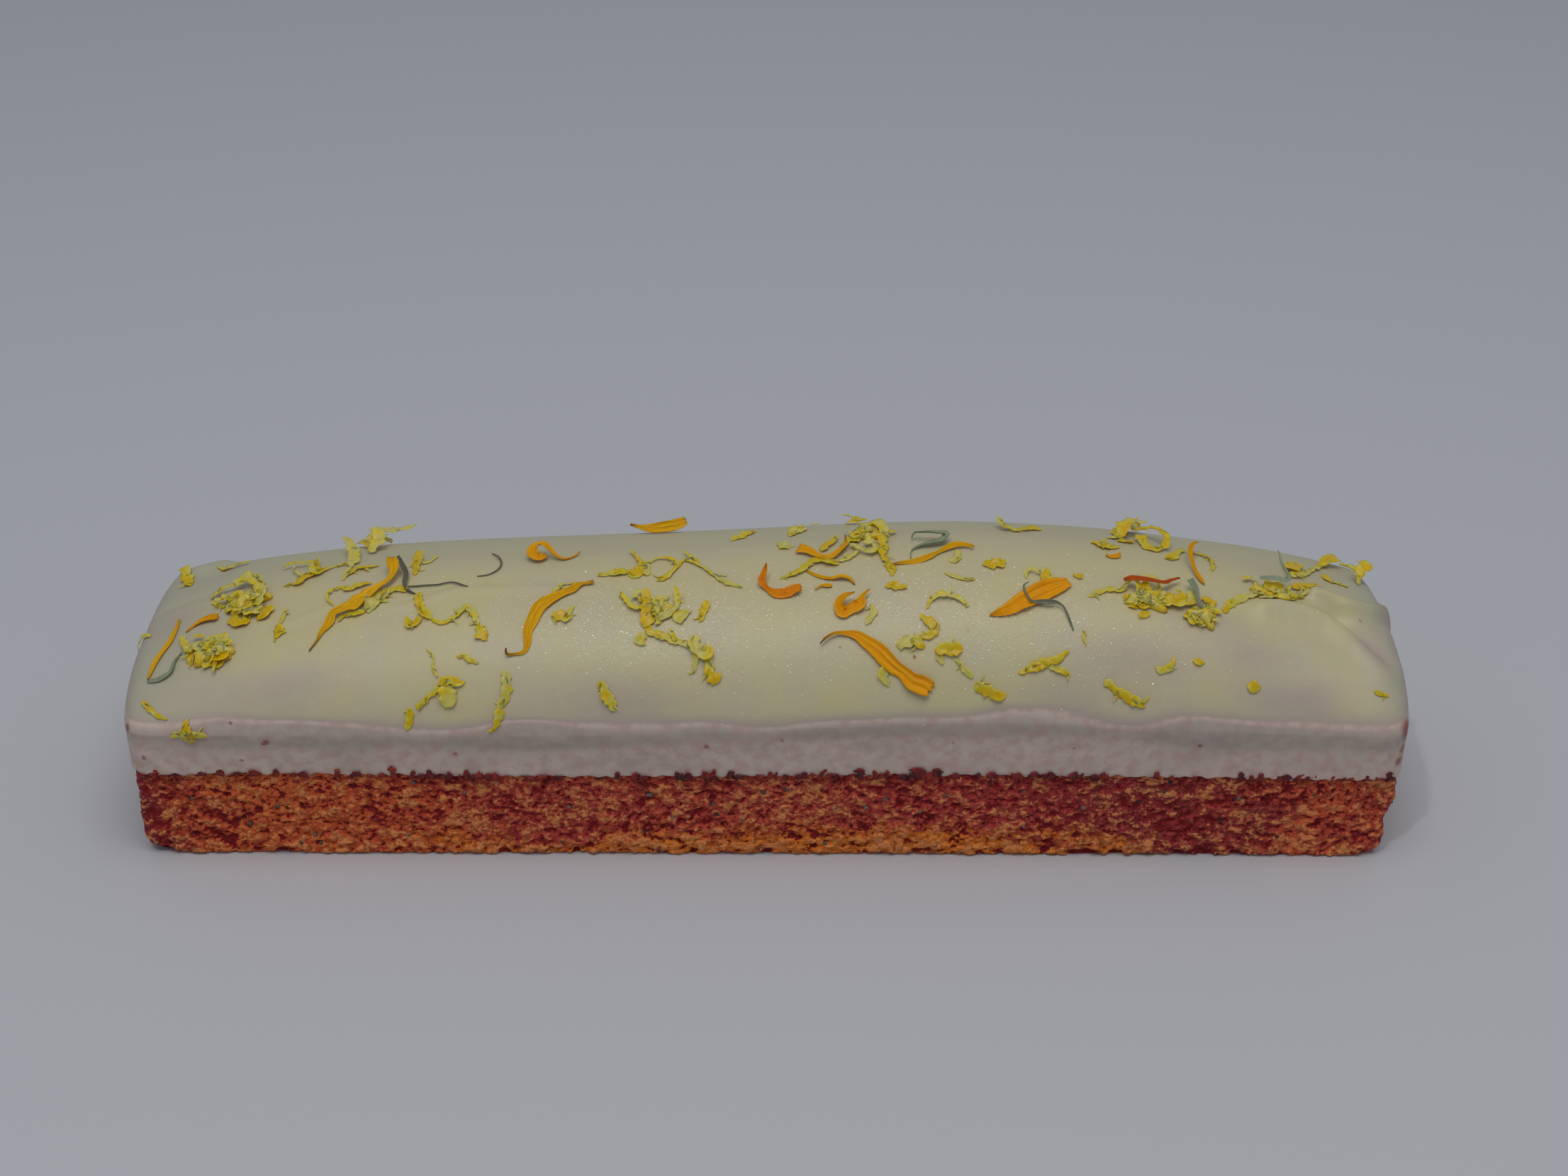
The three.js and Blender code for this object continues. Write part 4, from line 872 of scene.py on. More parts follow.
def sweep(centre, out, half_widths, thick, twist=0.0, cup=0.0, ripple=0.0, across=5):
    """A thin wavy strip carried along a path, with a width to each side of it. Its rows are turned by twist,
    both edges rise by cup times the square of the distance across, and ripple is added. Gives points, quads
    and places across."""
    along = np.gradient(centre, axis=0)
    along /= np.linalg.norm(along, axis=1, keepdims=True)
    side = np.cross(out, along)
    side /= np.linalg.norm(side, axis=1, keepdims=True)
    up = np.cross(along, side)
    angle = np.broadcast_to(twist, len(centre))[:, None]
    side, up = side * np.cos(angle) + up * np.sin(angle), up * np.cos(angle) - side * np.sin(angle)
    s = np.linspace(-1, 1, across)
    left, right = (np.asarray(w)[:, None] for w in half_widths)
    reach = np.where(s < 0, left, right) * s
    bow = cup * np.abs(reach * s) + ripple
    body = np.maximum(1 - s**4, 0.3) * thick / 2
    flat = centre[:, None] + side[:, None] * reach[..., None]
    top = flat + up[:, None] * (bow + body)[..., None]
    bottom = flat + up[:, None] * (bow - body)[..., None]
    ring = np.concatenate([top, bottom[:, ::-1]], 1)
    quads = closed_tube(len(centre), 2 * across)
    return ring.reshape(-1, 3), quads, np.tile(np.concatenate([s, s[::-1]]), len(centre))


def gather(parts):
    """Joins a list of (points, quads, values) into one array of each."""
    starts = np.cumsum([0] + [len(p[0]) for p in parts[:-1]])
    quads = np.concatenate([p[1] + start for p, start in zip(parts, starts)])
    return np.concatenate([p[0] for p in parts]), quads, np.concatenate([p[2] for p in parts])


def knots(draw, share, count):
    """Random values from -1 to 1 at equal knots, joined by straight lines."""
    return np.interp(share * count, np.arange(count + 1), draw.uniform(-1, 1, count + 1))


def wisp(draw, path, pale):
    """A fine torn thread that leaves a shred at a slant: it starts at one row of the shred's route."""
    k = draw.integers(1, len(path) - 1)
    ahead = path[k + 1, :2] - path[k - 1, :2]
    turn = math.atan2(ahead[1], ahead[0]) + draw.choice([-1, 1]) * draw.uniform(0.4, 1.3)
    bend = draw.uniform(-0.7, 0.7)
    long = draw.uniform(0.5, 1.3) * min(path[k, 3] + 0.3, 1.6)
    rise = draw.uniform(-0.1, 0.5)
    rows = [(*path[k, :3], 0.45)]
    for part, width in ((0.6, 0.35), (1.0, 0.1)):
        reach = path[k, 3] * 0.35 + long * part
        x = path[k, 0] + reach * math.cos(turn + bend * part)
        girth = path[k, 1] + reach * math.sin(turn + bend * part)
        rows.append((x, girth, max(0.02, path[k, 2] + rise * part), width))
    thread, _, centre, out = lay_route(rows, 6, ZEST_LIFT)
    half = thread[:, 3] * draw.uniform(0.4, 0.6)
    points, quads, across = sweep(centre, out, (half, half), WISP_THICK, draw.uniform(-0.5, 0.5), across=3)
    return points, quads, np.clip(pale[k] + 0.25 + 0 * across, 0, 1)


def zest_shred(draw, first_pale, last_pale, rows):
    """One shred: a thin strip with two torn edges, rippled and cupped, with its wisps, and its paleness."""
    length = smooth_route(rows, 2)[1]
    steps = int(np.clip(length * 4, 10, 44))
    path, _, centre, out = lay_route(rows, steps, ZEST_LIFT)
    share = np.linspace(0, 1, steps)
    taper = np.clip(np.minimum(share, 1 - share) * steps / 1.5, 0.35, 1)
    half = np.maximum(TORN_SPREAD * path[:, 3] / 2, 0.08) * taper
    bumps = max(4, int(length * 1.8))
    edges = []
    for _ in range(2):
        edges.append(half * (1 + 0.42 * knots(draw, share, bumps) + draw.uniform(-0.06, 0.06, steps)))
    twist = 0.4 * knots(draw, share, 2)
    s = np.linspace(-1, 1, ZEST_ACROSS)
    ripple = 0.14 * np.sin(share[:, None] * length * 3 + draw.uniform(0, 6) + s)
    ripple = ripple * s * np.minimum(half, 1)[:, None]
    thick = ZEST_THICK * (0.7 + 0.3 * path[:, 3:4])
    cup = draw.uniform(0.0, 0.5)
    points, quads, across = sweep(centre, out, edges, thick, twist, cup, ripple, ZEST_ACROSS)
    tone = np.clip(first_pale + (last_pale - first_pale) * share + 0.3 * knots(draw, share, bumps), 0, 1)
    pale = np.clip(np.repeat(tone, 2 * ZEST_ACROSS) + 0.25 * draw.choice([-1, 1]) * across, 0, 1)
    wisps = [wisp(draw, path, tone) for _ in range(int(length / WISP_EVERY))]
    points, quads, pale = gather([(points, quads, pale), *wisps])
    return np.clip(points, REACH_LOW, REACH_HIGH), quads, pale


draw = np.random.default_rng(19)
points, quads, pale = gather([zest_shred(draw, *row) for row in SHREDS])
shreds = new_mesh("zest_shreds", points, [quads], {"pale": pale})

# Fresh lemon zest: deep yellow oily skin, paler where it is pith, wet and soft, so that light goes through.
SKIN = "#e8b200"
ZEST_MIDDLE = "#e2c228"
PITH = "#d8c668"
zest = new_material(
    "fresh_lemon_zest",
    Roughness=0.3,
    Specular_IOR_Level=0.35,
    Subsurface_Weight=0.8,
    Subsurface_Scale=1.6 * MM,
    Subsurface_Radius=(1.0, 0.8, 0.2),
)
place = add(zest, "TexCoord").outputs["Object"]
paleness = add(zest, "Attribute", attribute_name="pale").outputs["Fac"]
flecks = add(zest, "TexNoise", {"Vector": place, "Scale": 1 / (1.2 * MM), "Detail": 3.0})
mottle = add(zest, "Math", {0: flecks, 1: 0.5}, operation="SUBTRACT")
mixed = add(zest, "Math", {0: paleness, 1: mottle}, operation="ADD", use_clamp=True)
zest_colour = add(zest, "ValToRGB", {0: mixed}, [(0.15, SKIN), (0.42, ZEST_MIDDLE), (0.8, PITH)])
oil_pits = add(zest, "TexVoronoi", {"Vector": place, "Scale": 1 / (0.6 * MM)})
dimples = add(zest, "Bump", {"Height": oil_pits, "Strength": 0.2, "Distance": 0.08 * MM})
set_shader(zest, Base_Color=zest_colour, Normal=dimples)
fit_out(shreds, zest, "zest", "icing")

# Heaps of zest: shreds that stuck together in damp ragged lumps, deep yellow under, pale and frilly on top.
# Each heap has a place, a half length, a half width, a height and its shreds, over a low mound of the same.
HEAPS = [
    (-106.5, -4.5, 5.8, 4.8, 2.2, [
        (0.5, 0.4, [(-115, 0, 0.2, 0.8), (-113.5, 0.5, 0.8, 1.2), (-112, 1.5, 1.2, 0.8),
            (-109.5, 1.5, 1.4, 0.9)]),
        (0.6, 0.5, [(-114.5, -1, 0.2, 0.6), (-112.5, -3.5, 0.1, 1.2), (-111, -4.5, 0.2, 1)]),
        (0.6, 0.8, [(-109.5, 1, 1.2, 2), (-108, 2.5, 1.8, 2.2), (-106, 1.5, 2, 2), (-104, -1, 1.8, 2.2),
            (-103, -4.5, 1.5, 2.4), (-103, -8, 1.2, 2.2)]),
        (0.4, 0.4, [(-106, 3, 2.4, 0.3), (-104.5, 1, 2.2, 1), (-102.5, -2, 2, 0.3)]),
        (0, 0.1, [(-108.5, -2.5, 0.8, 2), (-106.5, -4, 1.2, 1.6), (-105, -4, 1.2, 1.6)]),
        (0.5, 0.6, [(-110.5, -6, 0.4, 2.4), (-108.5, -6.5, 1, 2.6), (-106.5, -8, 1.2, 2.6),
            (-104.5, -9.5, 1, 2.6), (-103, -9.5, 1, 2), (-102.5, -8, 1, 1.4)]),
        (0, 0, [(-109, -9.5, 0.2, 2), (-106.5, -11.5, 0.2, 2.4), (-104.5, -11.5, 0.3, 2.2)]),
        (0, 0, [(-103, -11.5, 0.2, 1.6), (-102, -11, 0.4, 2.2), (-101, -9.5, 0.5, 2.4),
            (-100.5, -8, 0.4, 1.6)]),
    ]),
    (-111, -18.5, 5.2, 4.0, 2.0, [
        (0.7, 0, [(-118.5, -12, 0.4, 0.8), (-117, -15.5, 0.5, 1.4), (-115.5, -17.5, 0.6, 1.6),
            (-115, -19.5, 0.3, 1.4), (-115, -21, 0.1, 0.9)]),
        (0.1, 0.1, [(-115.5, -13.5, 1, 0.8), (-113.5, -14.5, 1, 0.9)]),
        (0.9, 0.8, [(-114.5, -15.5, 0.8, 2.4), (-113.5, -18.5, 1, 2.6), (-112.5, -20.5, 0.6, 2.4)]),
        (0.8, 0.6, [(-112, -16, 1, 2), (-110, -16, 1.4, 2), (-108.5, -17.5, 1.4, 2.4),
            (-107.5, -19, 1.2, 2.4)]),
        (0.3, 0, [(-111, -19.5, 0.8, 3), (-109, -20.5, 0.8, 3), (-107.5, -19.5, 0.8, 2.8)]),
        (0.6, 0, [(-112, -20.5, 0.4, 2.6), (-110, -21.5, 0.2, 2.4), (-108.5, -21, 0.2, 2),
            (-107, -20, 0.2, 1.6)]),
        (0.9, 0.5, [(-113, -17, 1, 2.6), (-111, -18, 1.2, 2.8)]),
    ]),
    (20.5, 6, 4.8, 4.4, 1.9, [
        (0.8, 0.7, [(19, 3.5, 0.6, 1.5), (20, 6, 1.6, 2), (22, 6.5, 2.2, 2.2), (23.5, 5.5, 1.9, 2.2),
            (24.5, 4, 1.2, 1.8)]),
        (0.6, 0.4, [(19, 3.5, 0.5, 1.8), (17, 3, 0.5, 1.5), (15.5, 0.5, 0.4, 1.2),
            (14, -1.5, 0.3, 0.9)]),
        (0.9, 0.6, [(17, 1, 0.8, 1.2), (19, -1.5, 1, 1), (21, -2.5, 0.9, 1), (22.5, 0, 0.8, 1.6)]),
        (0.2, 0, [(23.5, 3.5, 0.9, 2), (23.5, -0.5, 0.6, 1.8), (23.5, -3.5, 0.4, 1.6),
            (24.5, -6, 0.3, 1.2)]),
        (0.1, 0.3, [(24.5, -6, 0.3, 1.2), (25, -7.5, 0.2, 1.4), (25, -10, 0.1, 0.5)]),
        (0.3, 0.2, [(24.5, 5, 0.8, 1.2), (26.5, 6.5, 0.6, 0.8)]),
        (0.8, 0.9, [(20, 1.5, 1.2, 2.2), (21.5, 0.5, 1, 2.2)]),
    ]),
    (76, -14.5, 5.4, 3.4, 1.4, [
        (0.7, 0.1, [(71, -12, 0.3, 1), (72, -11, 1.2, 0.9), (73, -10, 1.8, 0.9), (74, -11, 1.6, 1.2),
            (74.5, -12.5, 1, 1.6), (75, -14.5, 0.6, 2.2), (74.5, -17, 0.4, 2.4)]),
        (0, 0, [(71.5, -13.5, 0.3, 1.3), (72.5, -15.5, 0.2, 1.6), (73.5, -17, 0.2, 1.8)]),
        (0, 0, [(74.5, -17.5, 0.2, 1.8), (75, -19, 0.1, 1.6)]),
        (1, 0.2, [(78, -13, 0.4, 0.7), (78.5, -10.5, 0.9, 0.6), (78, -9.5, 1.5, 0.7),
            (76.5, -9.5, 1.8, 1), (75.5, -11, 1.5, 1.4), (76, -13, 0.8, 1.8)]),
        (0.6, 0, [(77, -15, 0.3, 1.6), (78, -15, 0.4, 2.2), (80, -14.5, 0.5, 2.8), (82, -14, 0.6, 2.8),
            (83, -12.5, 0.8, 1.6), (82.5, -11.5, 1.2, 0.4)]),
    ]),
    (87, -16.5, 3.8, 3.7, 1.3, [
        (0.4, 0.9, [(83, -14.5, 0.4, 2.4), (84.5, -13.5, 0.7, 2.2), (85, -11, 1.2, 1)]),
        (0.3, 0.7, [(83, -17, 0.2, 1.6), (84.5, -18, 0.4, 2.6), (86, -17, 0.5, 2.6),
            (88, -14, 0.5, 1.2)]),
        (0.7, 0.8, [(86, -19.5, 0.2, 1.8), (86.5, -17.5, 0.4, 2.2)]),
        (0.1, 0.4, [(87, -12, 0.5, 1.4), (88.5, -12.5, 0.5, 2), (89, -14.5, 0.3, 1.4),
            (89.5, -16.5, 0.1, 0.3)]),
    ]),
    (104, -6, 6.4, 3.2, 1.3, [
        (0.2, 1, [(91.5, -15, 0.1, 0.9), (92.5, -13, 0.2, 1.3), (95, -10.5, 0.3, 1.4),
            (97.5, -9, 0.4, 1.4), (100, -7, 0.4, 1.2)]),
        (0.4, 0.8, [(97, -2.5, 1, 1), (99, -1.5, 0.9, 1), (100, -3, 0.6, 1.2)]),
        (0, 0, [(101, -5, 0.5, 1.4), (103, -3, 0.8, 1.8), (104, -3.5, 0.7, 2),
            (104.5, -5.5, 0.4, 1.2)]),
        (0.9, 0.7, [(99.5, -9.5, 0.2, 1.4), (102.5, -8, 0.3, 2), (106, -6, 0.3, 2.2), (109, -4, 0.3, 2),
            (111.5, -1.5, 0.2, 0.8)]),
        (0, 0, [(107.5, -2, 0.6, 1.4), (110, -0.5, 0.5, 1.6), (113.5, 2.5, 0.4, 1)]),
    ]),
    (-21.5, -16, 3.2, 3.0, 1.2, [
        (0.5, 0.6, [(-29.5, -11.5, 0.6, 0.5), (-28, -14, 0.8, 1.2), (-26.5, -16, 0.8, 1.2),
            (-25, -15.5, 0.8, 0.8)]),
        (0.8, 0.9, [(-27, -13.5, 0.8, 0.5), (-25.5, -12.5, 1, 1.6), (-24.5, -15, 0.8, 1.6)]),
        (0.1, 0, [(-24, -12, 2, 0.3), (-24, -14, 1.4, 1.5), (-24, -16.5, 1, 2.2), (-24, -19, 0.6, 2.4),
            (-24, -20.5, 0.3, 1.8)]),
        (0.2, 0.6, [(-24, -20.5, 0.3, 1.8), (-23, -21.5, 0.3, 1.2), (-20.5, -22.5, 0.3, 1.3),
            (-18.5, -23.5, 0.2, 1.2), (-16.5, -24, 0.2, 1), (-14.5, -25.5, 0.2, 1.2)]),
        (0, 0.1, [(-22, -15, 0.8, 2.4), (-21.5, -18, 0.5, 2.6)]),
        (0.4, 0.9, [(-18.5, -11.5, 1.6, 0.3), (-18, -13.5, 1, 1.2), (-18, -15.5, 0.6, 0.8),
            (-19.5, -17.5, 0.6, 1.5), (-21.5, -19, 0.5, 1.2)]),
        (0.7, 0.5, [(-18.5, -19, 0.2, 2.2), (-15.5, -17, 0.3, 1.4)]),
        (0.8, 0.7, [(-24.5, -21.5, 0.2, 1.6), (-25.5, -24, 0.1, 1.8)]),
        (0.4, 0.4, [(-19.5, -21, 1, 0.2), (-18.5, -22.5, 0.5, 1), (-18, -23.5, 0.3, 1.2)]),
    ]),
]
FRILL_DENSITY = 2.2
MOUND_STEPS = 32
# The rings of a mound, from its middle below, out, up and back to its top: share of its reach and height.
MOUND_RINGS = [
    (0.05, 0), (0.35, 0), (0.7, 0), (0.95, 0), (1.0, 0.25), (0.85, 0.6), (0.65, 0.8), (0.4, 0.95),
    (0.15, 1), (0.02, 1),
]


def frills(draw, x, girth, long, wide, height):
    """Small curled shreds over a mound: each starts at a random place, bends, and rises at its ends."""
    made = []
    for _ in range(int(FRILL_DENSITY * long * wide / 4 + 3)):
        turn = draw.uniform(0, 2 * np.pi)
        out_share = draw.uniform(0.0, 0.8)
        heading = draw.uniform(0, 2 * np.pi)
        bend = draw.uniform(-1.2, 1.2)
        size = draw.uniform(1.4, 3.2)
        broad = draw.uniform(0.6, 1.5)
        low = height * (0.95 - 0.7 * out_share**2)
        rows = []
        for part, rise in ((0, 0.4), (0.35, 0), (0.7, 0.1), (1, 0.5)):
            angle = heading + bend * part
            at_x = x + long * out_share * math.cos(turn) + size * part * math.cos(angle)
            at_girth = girth + wide * out_share * math.sin(turn) + size * part * math.sin(angle)
            rows.append((at_x, at_girth, max(0.1, low + rise - 0.3), broad * (1 - 0.5 * abs(2 * part - 1))))
        made.append((draw.uniform(0.1, 0.9), draw.uniform(0.3, 1.0), rows))
    return made


def mound(number, x, girth, long, wide, height):
    """A low lump of zest: rings whose outline is a sum of sines, rough on top, and its paleness."""
    turn = np.arange(MOUND_STEPS) * 2 * np.pi / MOUND_STEPS
    out_share, level = np.array(MOUND_RINGS).T[..., None]
    torn = 0.72 + 0.2 * np.sin(3 * turn + number) + 0.1 * np.sin(7 * turn + 2 * number)
    at_x = x + long * out_share * torn * np.cos(turn)
    at_girth = girth + wide * out_share * torn * np.sin(turn)
    flat = np.stack([at_x, at_girth, level * 3 + 0 * turn], -1)
    rough = 0.8 * grain(flat, 1.5, 30 + number) + 0.5 * grain(flat, 0.75, 40 + number)
    points, _ = on_icing(at_x, at_girth, 0.1 + level * (height + rough))
    tone = np.clip(0.2 + 0.5 * level + 0.5 * grain(flat, 1.5, 50 + number), 0, 1)
    return points.reshape(-1, 3), closed_tube(len(MOUND_RINGS), MOUND_STEPS), tone.ravel()


for number, (*size, rows) in enumerate(HEAPS, 1):
    draw = np.random.default_rng(100 + number)
    rows = [*rows, *frills(draw, *size)]
    points, quads, pale = gather([mound(number, *size), *(zest_shred(draw, *row) for row in rows)])
    heap = new_mesh(f"zest_heap_{number:02d}", points, [quads], {"pale": pale})
    fit_out(heap, zest, "zest", f"zest_clump_{number:02d}")

# Marigold petals: dried ray petals, thin and ribbed lengthwise, curled as they dried, with brown tips.
# Each row is a petal: how orange it is, how brown its first tip, last tip, ribs and edges are, its route.
PETALS = [
    (-0.1, 0.2, 0.2, 0.2, 0.1, [(-120.5, -5, 0.2, 0.4), (-120.5, -8.5, 0.1, 0.9), (-121, -12.5, 0, 1.3),
        (-122, -15.5, 0, 1.5), (-123, -19, 0, 1.3), (-123.5, -22.5, 0.3, 0.5)]),
    (0.5, 0.5, 0, 0.1, 0.5, [(-118, -10.5, 0, 0.3), (-117, -9, 0, 1), (-115, -8, 0.2, 1.7),
        (-113, -8, 0.4, 2), (-111.5, -8.5, 0.6, 1.5)]),
    (-0.2, 0.9, 0.3, 0.5, 0.3, [(-91, -22, 0.2, 0.2), (-89.5, -19.5, 0.2, 0.5), (-89, -18, 0.2, 1),
        (-87.5, -15.5, 0.4, 2), (-87, -14, 0.9, 1.7), (-85, -13, 0.9, 2.2), (-82.5, -11.5, 0.8, 3),
        (-80, -9, 0.9, 3.2), (-78.5, -7, 1, 2.4), (-76.5, -5, 1.2, 1.4), (-76, -3, 1.5, 2),
        (-76.5, -0.5, 2, 2.5), (-77, 1.5, 2.4, 1.8)]),
    (0.1, 1, 0.5, 0.5, 0.1, [(-51.5, -24.5, 1.2, 0.3), (-51.5, -25.5, 0.6, 0.5), (-50, -25.5, 0.1, 0.5),
        (-48, -25, 0, 0.9), (-47.5, -23.5, 0, 1.3), (-47.5, -20.5, 0, 1.9), (-46.5, -18, 0.2, 2.4),
        (-45.5, -15.5, 0.3, 2.6), (-43.5, -13.5, 0.4, 2.3), (-41.5, -12, 0.4, 1.9),
        (-38.5, -10, 0.3, 1.6), (-35, -8, 0.4, 1)]),
    (0.4, 0.1, 0.4, 0.2, 0.1, [(-45.5, 2, 0.6, 2), (-47, 1, 0.4, 2.4), (-48, 1.5, 1, 2.5),
        (-48, 3, 2, 2.2), (-46.5, 3.5, 2.6, 1.8), (-45, 2.5, 2, 1.6), (-43.5, 1.5, 0.9, 1.4),
        (-42, 1, 0.3, 1), (-40, 2, 0.1, 0.6), (-38.5, 3.5, 0.6, 0.2)]),
    (0.0, 0.9, 0.2, 0.6, 0.1, [(-29, 17, 1.8, 0.5), (-27.5, 16.5, 1.4, 0.9), (-25, 16, 1, 1.8),
        (-22, 16, 1, 2.3), (-19, 16.5, 1.6, 2.4), (-17, 17, 2.1, 1.8)]),
    (1.0, 0.4, 0, 0.1, 0.1, [(0, -7.5, 3, 0.3), (-0.5, -9, 2, 1.2), (-1, -10.5, 1, 1.6),
        (0, -12, 0.3, 1), (2, -13.5, 0.2, 2), (4, -13.5, 0.3, 2.1), (5.5, -13, 0.6, 2.2),
        (7, -13, 0.9, 2.2)]),
    (0.4, 0.8, 0.1, 0.2, 0.1, [(16, 2, 2.3, 0.2), (16, 0, 1.5, 0.8), (14.5, -2, 0.9, 1.2),
        (13, -3, 0.4, 1.5), (10.5, -2.5, 0.4, 1.5), (8, -0.5, 0.5, 1.9), (6, 0.5, 0.6, 2.3)]),
    (0.2, 0.1, 0.8, 0.1, 0.5, [(8, -7, 0, 0.6), (10.5, -9, 0, 0.8), (13, -10, 0.2, 1),
        (15, -10, 0.6, 1.5), (16.5, -10.5, 0.3, 1), (17.5, -12, 0, 0.2)]),
    (0.5, 0.3, 0.2, 0.1, 0.1, [(17.5, -16, 2.6, 0.3), (15.5, -16.5, 2, 1.5), (14.5, -17.5, 1, 2.2),
        (15, -19, 0.2, 2.7), (16.5, -18.5, 0.2, 2.3), (18.5, -17.5, 0.6, 2.7), (19, -16, 1, 1.2),
        (20.5, -14.5, 1.4, 0.2)]),
    (0.5, 0.9, 0, 0.15, 0.2, [(10.5, -25.5, 1, 0.2), (11.5, -24.5, 1, 0.5), (13.5, -23.5, 0.8, 0.7),
        (15.5, -23.5, 0.4, 1.1), (17.5, -24, 0.2, 1.9), (19.5, -25.5, 0.1, 2.6), (21.5, -27, 0.1, 3.2),
        (23.5, -29, 0.1, 3.3), (25, -30.5, 0.2, 3), (27, -32, 0.2, 2.8), (28.5, -33.5, 0.3, 3.6),
        (31, -34.5, 0.4, 3.9), (32.5, -35.5, 0.6, 3)]),
    (0.1, 0.6, 0.2, 0.2, 0.2, [(25, -6.5, 0.2, 0.3), (27, -6, 0.1, 0.8), (30, -5.5, 0.1, 1.3),
        (32.5, -4.5, 0.3, 1.2), (34.5, -3, 0.4, 0.7), (36.5, -1.5, 0.5, 1.2), (38.5, -0.5, 0.6, 1.5),
        (40.5, -0.5, 0.6, 1), (42, -1.5, 0.8, 0.6)]),
    (0.6, 0.3, 0, 0.05, 0.1, [(44, -20.5, 0.2, 0.3), (45.5, -20, 0.2, 1.4), (48, -19, 0.2, 2.8),
        (50.5, -17.5, 0.2, 3.8), (53.5, -15.5, 0.2, 4.2), (56, -14, 0.2, 4.2), (58.5, -12.5, 0.2, 3.6),
        (60.5, -11.5, 0.3, 2)]),
    (0.5, 0.1, 0.4, 0.1, 0.1, [(88.5, 6, 2.4, 0.4), (87, 4, 2.6, 1), (86, 1, 2.2, 1),
        (86.5, -1, 1.4, 0.9), (87, -3, 0.8, 0.8), (88, -5.5, 0.3, 0.9), (88.5, -6.5, 0.1, 0.3)]),
    (1.7, 0.5, 0.1, 0.3, 0.3, [(71, -11.5, 2.2, 0.7), (72.5, -11, 2.3, 1.4), (75, -11, 2.4, 1.3),
        (77, -11, 2.4, 1.2), (79.5, -10.5, 1.9, 1.2), (81, -9, 1.5, 0.9), (83, -7.5, 1.4, 0.6)]),
    (0.4, 0.2, 0.3, 0.1, 0.2, [(69, -0.5, 0.2, 0.4), (70, -1, 0.1, 0.9), (71.5, -0.5, 0.2, 1.1),
        (72, 0, 0.6, 0.5)]),
    (0.2, 0.1, 0.1, 0.1, 0.1, [(9.5, -13, 0.4, 0.2), (11, -12, 0.3, 0.6), (12, -12, 0.2, 1.1),
        (13, -12, 0, 0.8)]),
]
# Petals that stand on one edge: how far each is turned, in radians.
TILTS = {6: 0.95, 12: 0.4}
PETAL_THICK = 0.24
PETAL_CUP = 0.28
PETAL_LIFT = 0.15
PETAL_STEPS = 48
PETAL_ACROSS = 17

# Dried marigold petal: matt and papery, with a faint sheen along its ribs, yellow to deep orange, rusty tips.
PETAL_STOPS = [(0.0, "#eab200"), (0.25, "#eca200"), (0.45, "#ea9000"), (0.65, "#de7000"), (0.95, "#ae4208")]
RUST = "#7a3c1c"
petal_skin = new_material("dried_marigold_petal", Roughness=0.5, Specular_IOR_Level=0.2)
place = add(petal_skin, "TexCoord").outputs["Object"]
hue = add(petal_skin, "Attribute", attribute_name="orange").outputs["Fac"]
rustiness = add(petal_skin, "Attribute", attribute_name="brown").outputs["Fac"]
rib = add(petal_skin, "Attribute", attribute_name="rib").outputs["Fac"]
patch = add(petal_skin, "TexNoise", {"Vector": place, "Scale": 1 / (1.6 * MM), "Detail": 3.0})
hue_here = add(petal_skin, "Math", {0: patch, 1: 0.9, 2: -0.45}, operation="MULTIPLY_ADD")
hue_sum = add(petal_skin, "Math", {0: hue_here, 1: hue}, operation="ADD")
hue_half = add(petal_skin, "Math", {0: hue_sum, 1: 0.5}, operation="MULTIPLY")
petal_colour = add(petal_skin, "ValToRGB", {0: hue_half}, PETAL_STOPS)
veins = add(petal_skin, "Bump", {"Height": rib, "Strength": 0.6, "Distance": 0.12 * MM})
set_shader(petal_skin, Base_Color=mix_colours(petal_skin, rustiness, petal_colour, RUST), Normal=veins)

